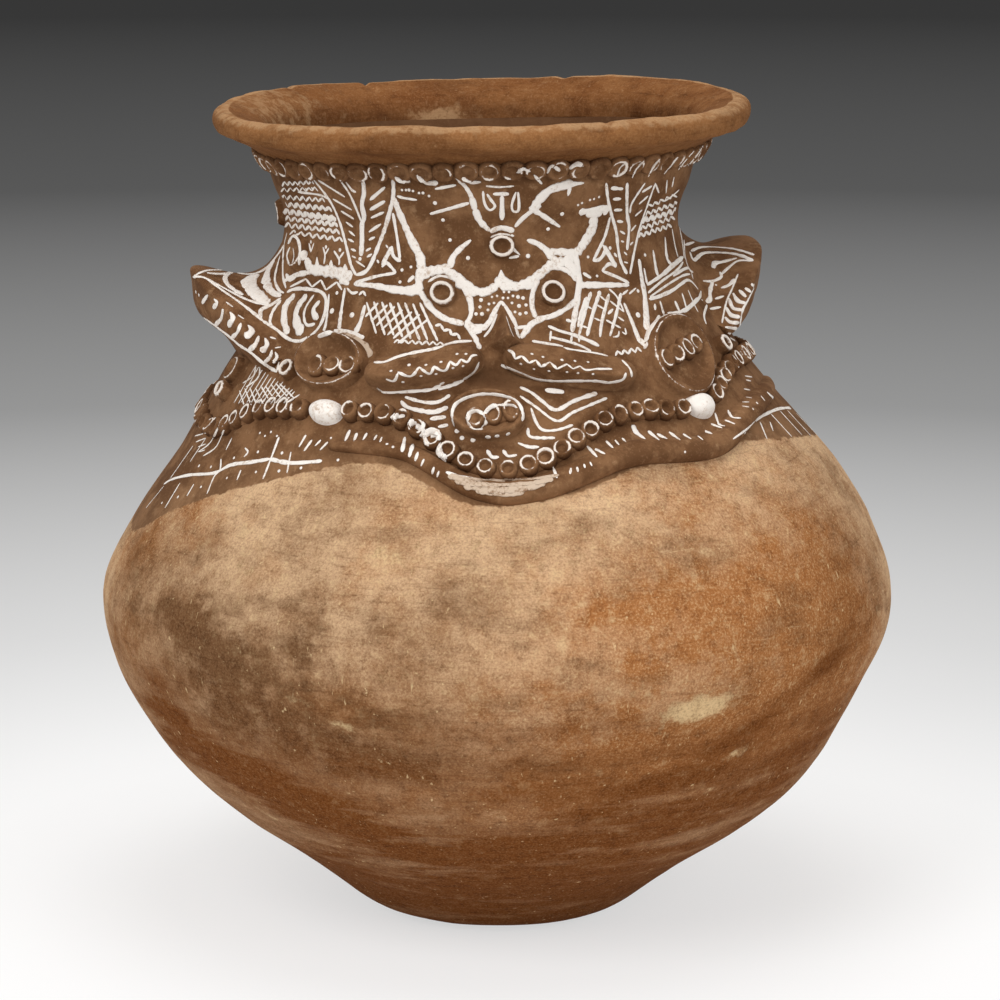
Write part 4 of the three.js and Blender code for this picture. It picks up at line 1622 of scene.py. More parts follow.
def spotted(name: str, spots: Array, edges: list, marks: dict[str, Array]) -> Piece:
    """Makes an object of bare points or lines that carries marks.

    Args:
        name: Name of the object.
        spots: Rows of coordinates.
        edges: Pairs of point numbers.
        marks: Values or vectors at the points, by name.

    Returns:
        The object, linked to the scene.
    """
    mesh = bpy.data.meshes.new(name)
    mesh.from_pydata(spots.tolist(), edges, [])
    for label, values in marks.items():
        kind, key = ("FLOAT_VECTOR", "vector") if np.ndim(values) == 2 else ("FLOAT", "value")
        attribute = mesh.attributes.new(label, kind, "POINT")
        attribute.data.foreach_set(key, np.asarray(values, np.float32).ravel())
    return new_object(name, mesh)


def grow(piece: Piece, tree: Tree, **values: object) -> Mesh:
    """Runs a geometry node tree on an object of points or lines, and removes the object.

    Args:
        piece: The object.
        tree: The tree.
        values: Values of the tree's inputs by name.

    Returns:
        The mesh that the tree makes.
    """
    modifier = piece.modifiers.new(tree.name, "NODES")
    modifier.node_group = tree
    sockets = [item for item in tree.interface.items_tree if item.item_type == "SOCKET"]
    names = {socket.name: socket.identifier for socket in sockets}
    for label, value in values.items():
        modifier[names[label]] = value
    graph = bpy.context.evaluated_depsgraph_get()
    grown = piece.evaluated_get(graph)
    mesh = bpy.data.meshes.new_from_object(grown, preserve_all_data_layers=True, depsgraph=graph)
    bpy.data.objects.remove(piece)
    return smoothed(mesh)


@dataclass(frozen=True)
class PressedStrip:
    """A finger-pressed strip: its run on a path, its presses, its size, its lime and its seat."""

    name: str
    path: WallPath
    start: float
    end: float
    presses: int
    width: float
    height: float
    lime: float
    seat: float = 0.0

    @property
    def pitch(self) -> float:
        """Distance between presses."""
        return (self.end - self.start) / self.presses


@dataclass
class BeadRow:
    """Maker of finger-pressed strips: a coil of clay with a dimpled bead at every press."""

    sectors: int = 16
    profile: Line = (
        (0.22, 0.3), (0.4, 0.42), (0.54, 0.84), (0.66, 1), (0.82, 0.92), (0.96, 0.55), (1, -0.2),
    )
    middle: float = 0.26
    # painted shade in the dimple of each bead and round its foot
    dimple_shade: float = 0.85
    dimple_shade_fade: float = 2.1
    foot_from: float = 0.9
    foot_fade: float = 6.0
    bead_foot_shade: float = 0.5
    lime_ring: Place = (0.68, 0.15)
    lime_patch: float = 5.5
    lime_swing: float = 0.9
    lime_seed: int = 61
    bead_length: float = 0.57
    bead_width: float = 0.52
    lengths: Place = (0.93, 1.1)
    widths: Place = (0.93, 1.08)
    heights: Place = (0.9, 1.06)
    wobble: float = 0.12
    coil_width: float = 0.4
    coil_height: float = 0.5
    coil_bluntness: float = 0.8
    coil_inset: float = 0.1
    coil_rows: int = 8
    coil_columns: int = 10
    seed: int = 5

    def __post_init__(self) -> None:
        """Makes the bead and the tree that sets it along a strip."""
        self.draws = np.random.default_rng(self.seed)
        self.bead = self.make_bead()
        self.tree = self.make_tree()

    def make_bead(self) -> Piece:
        """Makes one bead of unit radius and height.

        Returns:
            The bead.
        """
        way = np.linspace(0, 2 * math.pi, self.sectors, endpoint=False)
        share, height = np.array(self.profile).T
        x, y = share[:, None] * np.cos(way), share[:, None] * np.sin(way)
        ring = np.column_stack([x.ravel(), y.ravel(), np.repeat(height, self.sectors)])
        spots = np.concatenate([ring, [[0, 0, self.middle], [0, 0, height[-1]]]])
        lime = hump(share, *self.lime_ring)
        # painted shade, darkest in the dimple and again at the foot
        soot_and_shade = np.clip(self.dimple_shade - self.dimple_shade_fade * share, 0, 1)
        soot_and_shade = soot_and_shade + np.clip(self.foot_fade * (share - self.foot_from), 0, self.bead_foot_shade)
        marks = {
            "lime": np.concatenate([np.repeat(lime, self.sectors), [0, 0]]),
            "soot_and_shade": np.concatenate([np.repeat(soot_and_shade, self.sectors), [self.dimple_shade, 0]]),
        }
        faces = flipped(shell_faces(len(share), self.sectors))
        return new_object("pressed_bead", Solid(spots, faces, marks).mesh("pressed_bead"))

    def make_tree(self) -> Tree:
        """Makes the node tree that joins a strip and the beads on its stations.

        Returns:
            The tree.
        """
        inputs = {
            "Stations": Link.GEOMETRY, "Bead": Link.OBJECT, "Strip": Link.OBJECT,
            "Finish": Link.MATERIAL,
        }
        outputs = {"Pressed Strip": Link.GEOMETRY}
        sheet, given, taken = new_group("pressed_beads", inputs, outputs, "GeometryNodeTree")
        off, on, size = [
            sheet.carried(label, "FLOAT_VECTOR") for label in ("off_wall", "along", "bead_size")
        ]
        bead, strip = [
            sheet.add("GeometryNodeObjectInfo", {"Object": given[label]}).outputs["Geometry"]
            for label in ("Bead", "Strip")
        ]
        inputs = {"Points": given["Stations"], "Instance": bead, "Scale": size}
        inputs["Rotation"] = sheet.facing(off, on)
        beads = sheet.add("GeometryNodeInstanceOnPoints", inputs).outputs[0]
        sheet.link(sheet.whole(beads, strip, given["Finish"]), taken["Pressed Strip"])
        return sheet.tree

    def coil(self, strip: PressedStrip) -> Solid:
        """Builds the coil that the beads of a strip are pressed into.

        Args:
            strip: The strip.

        Returns:
            The solid.
        """
        inset = self.coil_inset * strip.pitch
        count = self.coil_rows * strip.presses + 1
        run = np.linspace(strip.start + inset, strip.end - inset, count)
        around = np.linspace(0, math.pi, self.coil_columns)
        half, height = self.coil_width * strip.width, self.coil_height * strip.height
        across = np.concatenate([half * np.cos(around), [-half, half]])
        lift = np.concatenate([height * np.sin(around) ** self.coil_bluntness, [SINK, SINK]])
        across, lift = np.tile(across, (count, 1)), np.tile(lift, (count, 1))
        return strip.path.strip(run, across, lift + strip.seat)

    def mesh(self, strip: PressedStrip, finish: Material) -> Mesh:
        """Makes a pressed strip.

        Args:
            strip: The strip.
            finish: Its material.

        Returns:
            The mesh.
        """
        name, count, draws = strip.name, strip.presses, self.draws
        run = strip.start + strip.pitch * (np.arange(count) + 0.5)
        spot, off, on = strip.path.stations(run, strip.seat)
        length = self.bead_length * strip.pitch * draws.uniform(*self.lengths, count)
        width = self.bead_width * strip.width * draws.uniform(*self.widths, count)
        height = strip.height * draws.uniform(*self.heights, count)
        off = off + draws.uniform(-self.wobble, self.wobble, (count, 3))
        size = np.column_stack([length, width, height]) * MM
        stations = spotted(name, spot, [], {"off_wall": off, "along": on, "bead_size": size})
        coil = new_object(f"{name}_coil", self.coil(strip).mesh(f"{name}_coil"))
        mesh = grow(stations, self.tree, Bead=self.bead, Strip=coil, Finish=finish)
        bpy.data.objects.remove(coil)
        self.rub_off(mesh, strip.lime)
        return mesh

    def press(self, strip: PressedStrip, finish: Material) -> Piece:
        """Adds a pressed strip as the piece of its name."""
        return put(strip.name, self.mesh(strip, finish), Slot.SLIP, [strip.name], finish)

    def rub_off(self, mesh: Mesh, lime: float) -> None:
        """Leaves lime on the beads in patches only.

        Args:
            mesh: The pressed strip.
            lime: How much lime is left on the rims of the beads.
        """
        count = len(mesh.vertices)
        spots, cover = np.zeros(3 * count), np.zeros(count)
        mesh.vertices.foreach_get("co", spots)
        mesh.attributes["lime"].data.foreach_get("value", cover)
        patch = lumps(spots.reshape(-1, 3) / (self.lime_patch * MM), self.lime_seed)
        cover = cover * np.clip(lime + self.lime_swing * patch, 0, 1)
        mesh.attributes["lime"].data.foreach_set("value", cover)

    def clear(self) -> None:
        """Removes the loose bead."""
        bpy.data.objects.remove(self.bead)


@dataclass
class ShoulderChain:
    """The chain of beads round the shoulder, its two lime pellets, and the ledge below it."""

    wall: JarWall
    width: float = 12.5
    height: float = 7.0
    pitch: float = 11.4
    lime: float = 0.72
    heights: tuple[float, ...] = (1.0, 0.85, 0.6, 0.85)
    front: Line = (
        (-119, 161), (-70, 161), (-30, 190), (3, 190), (61, 161), (124, 161), (172, 141),
        (250, 144),
    )
    right_pellet: int = 5
    left: Line = ((-238, 188), (-172, 166), (-119, 161))
    back_stations: int = 8
    pellet_width: float = 25.0
    pellet_length: float = 17.0
    pellet_height: float = 8.0
    pellet_flatness: float = 3.2
    pellet_bluntness: float = 0.7
    pellet_rough: float = 0.5
    ledge_places: Line = (
        (-119, 182), (-70, 182), (-30, 205), (3, 205), (61, 186), (124, 186), (176, 170),
        (252, 164),
    )
    ledge_face: Line = (
        (-8.6, SINK), (-8, 2.2), (-6.9, 5.4), (-4.2, 7.5), (-0.8, 8), (2.6, 6.9), (5.8, 4.4),
        (8, 1.0), (9.2, SINK),
    )
    ledge_taper: float = 0.35
    ledge_bluntness: float = 0.6
    ledge_steps: int = 420
    ledge_columns: int = 30

    def once_round(self, across: float, drop: float) -> float:
        """Distance across of a place, after a turn round the jar."""
        return across + 2 * math.pi * float(self.wall.radius(drop))

    def path(self) -> tuple[WallPath, int]:
        """Draws the chain's path all the way round.

        Returns:
            The path, and the number of its last place.
        """
        wall = self.wall
        (end, end_drop), (first, first_drop) = self.front[-1], self.left[0]
        start = end / float(wall.radius(end_drop))
        finish = self.once_round(first, first_drop) / float(wall.radius(first_drop))
        share = np.arange(1, self.back_stations) / self.back_stations
        drop = end_drop + (first_drop - end_drop) * share
        back = zip((start + (finish - start) * share) * wall.radius(drop), drop)
        left = [(self.once_round(across, down), down) for across, down in self.left]
        places = (*self.front, *back, *left)
        return WallPath(wall, places), len(places) - 1

    def build(self, finishes: Finishes, beads: BeadRow) -> list[Piece]:
        """Builds the chain, its pellets and the ledge.

        Args:
            finishes: The finishes.
            beads: Maker of beaded strips.

        Returns:
            The pieces.
        """
        path, last = self.path()
        half = self.pellet_width / 2 + GAP
        pellet, right_join = path.station(self.right_pellet), path.station(len(self.front) - 1)
        left_join = path.station(last - len(self.left) + 1)
        runs = {
            "chain_front": (path.station(0) + half, pellet - half),
            "chain_right": (pellet + half, right_join - GAP),
            "chain_back": (right_join + GAP, left_join - GAP),
            "chain_left": (left_join + GAP, path.station(last) - half),
        }
        pieces = []
        for (name, (start, end)), share in zip(runs.items(), self.heights):
            presses, size = round((end - start) / self.pitch), (self.width, self.height * share)
            strip = PressedStrip(name, path, start, end, presses, *size, self.lime)
            pieces.append(beads.press(strip, finishes.slip))
        edge = oval(self.pellet_width, self.pellet_length)
        for hand, place in zip(Hand, (self.front[0], self.front[self.right_pellet])):
            pat = Pat(*place, edge, self.pellet_face, rough=self.pellet_rough)
            name = f"lime_pellet_{hand.value}"
            pieces.append(pat.press(name, self.wall, finishes.lime, Slot.LIME))
        pieces.append(self.build_ledge(finishes))
        return pieces

    def pellet_face(self, share: Array, x: Array, y: Array) -> Array:
        """Height of a lime pellet: a low dome with a flattened top."""
        low = 1 - np.broadcast_to(share, x.shape) ** self.pellet_flatness
        return SINK + (self.pellet_height - SINK) * low**self.pellet_bluntness

    def build_ledge(self, finishes: Finishes) -> Piece:
        """Builds the ledge that hangs below the chain.

        Args:
            finishes: The finishes.

        Returns:
            The piece.
        """
        name = "shoulder_ledge"
        path = WallPath(self.wall, self.ledge_places)
        share = np.linspace(0, 1, self.ledge_steps)
        size = swell(share, self.ledge_taper, self.ledge_bluntness)[:, None]
        upper, lower = self.ledge_face[-1][0], self.ledge_face[0][0]
        across = np.linspace(lower, upper, self.ledge_columns)
        lift = smooth_run(self.ledge_face, across)
        solid = path.strip(share * path.length, size * across[::-1], size * lift[::-1])
        return put(name, solid.mesh(name), Slot.SLIP, [name], finishes.slip)


@dataclass
class RimFillet:
    """The finger-scalloped strip under the lip."""

    wall: JarWall
    drop: float = 3.6
    width: float = 14.5
    height: float = 4.4
    lime: float = 0.48
    seat: float = -0.9 * THROAT_TUCK
    scallops: int = 64
    stations: int = 41

    def build(self, finishes: Finishes, beads: BeadRow) -> list[Piece]:
        """Builds the fillet.

        Args:
            finishes: The finishes.
            beads: Maker of pressed strips.

        Returns:
            The piece.
        """
        around = 2 * math.pi * float(self.wall.radius(self.drop))
        shares = np.linspace(-0.5, 0.5, self.stations)
        path = WallPath(self.wall, tuple((around * s, self.drop) for s in shares), self.drop)
        size = (self.width, self.height, self.lime, self.seat)
        strip = PressedStrip("rim_fillet", path, 0, path.length, self.scallops, *size)
        return [beads.press(strip, finishes.slip)]


@dataclass
class EarLugs:
    """The pointed ear lugs: a hollow upper face above a thick front band."""

    wall: JarWall
    reach: float = 67.0
    droop: float = 36.0
    rise: float = 37.0
    height: float = 50.0
    section: Line = (
        (1.0, 0.0), (0.66, 0.07), (0.4, 0.19), (0.21, 0.36), (0.1, 0.56), (0.03, 0.78),
        (-0.03, 0.9), (-0.1, 0.97), (-0.19, 0.98), (-0.36, 0.91), (-0.6, 0.82), (-0.76, 0.73),
        (-0.84, 0.64), (-0.86, 0.5), (-0.93, 0.25), (-1.08, 0.0),
    )
    section_steps: int = 4
    foot: tuple[float, ...] = (-1.08, 0.0, 1.0)
    taper: float = 0.16
    bluntness: float = 0.9
    dents: Dents = ((0.6, 15, 41), (0.3, 5, 42))
    dents_run: float = 130.0
    dents_from: float = 6.0
    ears: Rows = (
        (Hand.LEFT, -214, 100.5), (Hand.RIGHT, 232, 85.5),
    )
    stations: tuple[float, ...] = (-1, -0.5, 0, 0.5, 1)
    steps: int = 140

    def path(self, across: float, drop: float) -> WallPath:
        """Draws the arc that an ear follows.

        Args:
            across: Distance from the middle of the face to the ear's middle.
            drop: Drop of its highest place.

        Returns:
            The path.
        """
        radius = float(self.wall.radius(drop))
        places = []
        for share in self.stations:
            down = drop + self.droop * share * share
            turn = across / radius + share * self.reach / radius
            places.append((turn * float(self.wall.radius(down)), down))
        return WallPath(self.wall, tuple(places))

    def build(self, finishes: Finishes) -> list[Piece]:
        """Builds both ears.

        Args:
            finishes: The finishes.

        Returns:
            The pieces.
        """
        outline = bent_line(np.array(self.section), self.section_steps)
        sunk = [(place, SINK / self.height) for place in self.foot]
        outline = np.concatenate([outline, sunk])
        share = np.linspace(0, 1, self.steps)
        size = swell(share, self.taper, self.bluntness)[:, None]
        rows, lift = size * outline[:, 0] * self.rise, size * outline[:, 1] * self.height
        run = np.broadcast_to(share[:, None] * self.dents_run, rows.shape)
        lift = lift + dented((rows, lift, run), self.dents) * ease(lift, 0, self.dents_from)
        pieces = []
        for hand, across, drop in self.ears:
            path, name = self.path(across, drop), f"ear_lug_{hand.value}"
            mesh = path.strip(share * path.length, rows, lift).mesh(name)
            pieces.append(put(name, mesh, Slot.SLIP, [name], finishes.slip))
        return pieces


@dataclass
class LimeBrush:
    """Paints lime marks, placed as they are seen from the front, on whatever carries them."""

    view: FrontView
    grounds: list[BVHTree]
    step: float = 1.3
    pixel: float = 0.62
    fullness: float = 1.2
    leap: float = 0.006
    lift: float = 0.08
    thickness: float = 0.14
    bend_steps: int = 12
    wear: float = 0.24
    wear_size: float = 3.4
    wear_kinds: int = 97
    wear_seed: int = 51
    tip: float = 0.45
    tip_length: float = 2.2
    dot_sizes: Place = (0.85, 1.12)
    tooth_sizes: Place = (0.75, 1.2)
    shake: float = 1.0
    least_points: int = 3
    stroke_sides: int = 8
    dot_segments: int = 9
    dot_rings: int = 5
    seed: int = 9

    def __post_init__(self) -> None:
        """Makes the tree that lays the marks."""
        self.tree = self.make_tree()
        self.draws = np.random.default_rng(self.seed)
        self.clear()

    def clear(self) -> None:
        """Starts a new set of marks."""
        self.spots: list[Vector] = []
        self.offs: list[Vector] = []
        self.sizes: list[float] = []
        self.edges: list[tuple[int, int]] = []
        self.lone: list[float] = []

    def make_tree(self) -> Tree:
        """Makes the node tree that turns lines into strokes and lone points into dots.

        Returns:
            The tree.
        """
        inputs = {"Marks": Link.GEOMETRY, "Thickness": Link.VALUE, "Finish": Link.MATERIAL}
        outputs = {"Paint": Link.GEOMETRY}
        sheet, given, taken = new_group("lime_marks", inputs, outputs, "GeometryNodeTree")
        marks, thickness = given["Marks"], given["Thickness"]
        off, size = sheet.carried("off_wall", "FLOAT_VECTOR"), sheet.carried("half_width", "FLOAT")
        flat = sheet.add("ShaderNodeCombineXYZ", {0: thickness, 1: 1.0, 2: 1.0}).outputs[0]
        inputs = {"Resolution": self.stroke_sides}
        ring = sheet.add("GeometryNodeCurvePrimitiveCircle", inputs).outputs[0]
        profile = sheet.add("GeometryNodeTransform", {"Geometry": ring, "Scale": flat}).outputs[0]
        lines = sheet.add("GeometryNodeMeshToCurve", {0: marks}).outputs[0]
        inputs = {"Curve": lines, "Normal": off}
        lines = sheet.add("GeometryNodeSetCurveNormal", inputs, mode="FREE").outputs[0]
        inputs = {"Curve": lines, "Profile Curve": profile, "Scale": size, "Fill Caps": True}
        strokes = sheet.add("GeometryNodeCurveToMesh", inputs).outputs[0]
        low = sheet.add("ShaderNodeCombineXYZ", {0: 1.0, 1: 1.0, 2: thickness}).outputs[0]
        inputs = {"Segments": self.dot_segments, "Rings": self.dot_rings}
        ball = sheet.add("GeometryNodeMeshUVSphere", inputs).outputs[0]
        drop = sheet.add("GeometryNodeTransform", {"Geometry": ball, "Scale": low}).outputs[0]
        inputs = {"Points": marks, "Instance": drop, "Scale": size}
        inputs["Selection"] = sheet.carried("lone", "FLOAT")
        inputs["Rotation"] = sheet.facing(off, (1.0, 0.0, 0.0))
        dots = sheet.add("GeometryNodeInstanceOnPoints", inputs).outputs[0]
        sheet.link(sheet.whole(dots, strokes, given["Finish"]), taken["Paint"])
        return sheet.tree

    def seen(self, px: float, py: float) -> tuple[Vector, Vector] | None:
        """Finds what is seen at a pixel.

        Args:
            px: Pixel column.
            py: Pixel row.

        Returns:
            The spot and the direction off its surface, or None.
        """
        start, sight = self.view.ray(float(px), float(py))
        best = None
        for ground in self.grounds:
            spot, off, _, far = ground.ray_cast(start, sight)
            if spot is not None and (best is None or far < best[2]):
                best = (spot, off if off.dot(sight) < 0 else -off, far)
        return None if best is None else best[:2]

    def add(self, spot: Vector, off: Vector, half: float, lone: bool) -> None:
        """Adds one point of a mark.

        Args:
            spot: Where it lies.
            off: Direction off the surface.
            half: Half of its width, in pixels.
            lone: Whether it is a dot.
        """
        self.spots.append(spot + off * self.lift * MM)
        self.offs.append(off)
        self.sizes.append(half * self.pixel * self.fullness * MM)
        self.lone.append(float(lone))

    def line(self, start: float, end: float, *places: float) -> None:
        """Draws a stroke.

        Args:
            start: Width at its start, in pixels.
            end: Width at its end.
            places: Columns and rows that it passes, in turn.
        """
        bent = bent_line(np.array(places, float).reshape(-1, 2), self.bend_steps)
        run = distances(bent)
        count = max(self.least_points, int(run[-1] / self.step) + 1)
        at = np.linspace(0, run[-1], count)
        columns, rows = np.interp(at, run, bent[:, 0]), np.interp(at, run, bent[:, 1])
        kind = np.full(count, len(self.spots) % self.wear_kinds)
        spots = np.column_stack([columns / self.wear_size, rows / self.wear_size, kind])
        worn = 1 + self.wear * lumps(spots, self.wear_seed)
        to_tip = np.minimum(at, run[-1] - at)
        blunt = np.minimum(1, self.tip + (1 - self.tip) * to_tip / self.tip_length)
        half = (start + (end - start) * (at / run[-1])) / 2 * worn * blunt
        last = None
        for px, py, size in zip(columns, rows, half):
            found = self.seen(px, py)
            if found is None:
                last = None
                continue
            self.add(*found, size, False)
            if last is not None and (self.spots[-1] - self.spots[last]).length < self.leap:
                self.edges.append((last, len(self.spots) - 1))
            last = len(self.spots) - 1

    def dots(self, size: float, *places: float) -> None:
        """Puts dots.

        Args:
            size: Their width, in pixels.
            places: Their columns and rows, in turn.
        """
        for px, py in np.array(places, float).reshape(-1, 2):
            found = self.seen(px, py)
            if found is not None:
                self.add(*found, size / 2 * self.draws.uniform(*self.dot_sizes), True)

    def zigzag(self, width: float, teeth: int, depth: float, *ends: float) -> None:
        """Draws a zigzag between two places.

        Args:
            width: Width of its strokes, in pixels.
            teeth: Number of teeth.
            depth: Depth of the teeth.
            ends: Column and row of its start and of its end.
        """
        start, end = np.array(ends[:2], float), np.array(ends[2:], float)
        along = (end - start) / (2 * teeth)
        side = np.array([-along[1], along[0]]) / np.linalg.norm(along) * depth / 2
        for i in range(2 * teeth):
            near = start + along * i + side * (-1) ** i * self.draws.uniform(*self.tooth_sizes)
            far = start + along * (i + 1) - side * (-1) ** i * self.draws.uniform(*self.tooth_sizes)
            self.line(width, width, *near, *far)

    def hatch(self, width: float, down: int, cross: int, *corners: float) -> None:
        """Crosses a four-cornered field with lines.

        Args:
            width: Width of the lines, in pixels.
            down: Number of lines from the top to the foot.
            cross: Number of lines from side to side.
            corners: Columns and rows of the corners, from the upper left round to the right.
        """
        a, b, c, d = np.array(corners, float).reshape(4, 2)
        for count, first, second in ((down, (a, b), (d, c)), (cross, (a, d), (b, c))):
            for share in np.linspace(0, 1, count):
                shake = self.draws.uniform(-self.shake, self.shake, (2, 2))
                start = first[0] + (first[1] - first[0]) * share + shake[0]
                end = second[0] + (second[1] - second[0]) * share + shake[1]
                self.line(width, width, *start, *end)

    def finish(self, name: str, finish: Material) -> Piece:
        """Turns the marks so far into one piece.

        Args:
            name: Name of the piece.
            finish: Its material.

        Returns:
            The piece.
        """
        marks = {"off_wall": self.offs, "half_width": self.sizes, "lone": self.lone}
        marks = {label: np.array(values) for label, values in marks.items()}
        lines = spotted(name, np.array(self.spots), self.edges, marks)
        mesh = grow(lines, self.tree, Thickness=self.thickness, Finish=finish)
        self.clear()
        return put(name, mesh, Slot.LIME, [], finish)


@dataclass
class Painting:
    """Marks of one part of the jar: widths in pixels first, then the places that each passes."""

    name: str
    lines: Marks = ()
    dot_rows: Marks = ()
    zigzags: Marks = ()
    crossed: Marks = ()

    def paint(self, brush: LimeBrush, finishes: Finishes) -> Piece:
        """Paints the marks as one piece.

        Args:
            brush: The brush.
            finishes: The finishes.

        Returns:
            The piece.
        """
        for width, down, cross, *corners in self.crossed:
            brush.hatch(width, int(down), int(cross), *corners)
        for line in self.lines:
            brush.line(*line)
        for size, *places in self.dot_rows:
            brush.dots(size, *places)
        for width, teeth, depth, *ends in self.zigzags:
            brush.zigzag(width, int(teeth), depth, *ends)
        return brush.finish(self.name, self.lime(finishes))

    def lime(self, finishes: Finishes) -> Material:
        """The lime that the marks are painted with."""
        return finishes.lime


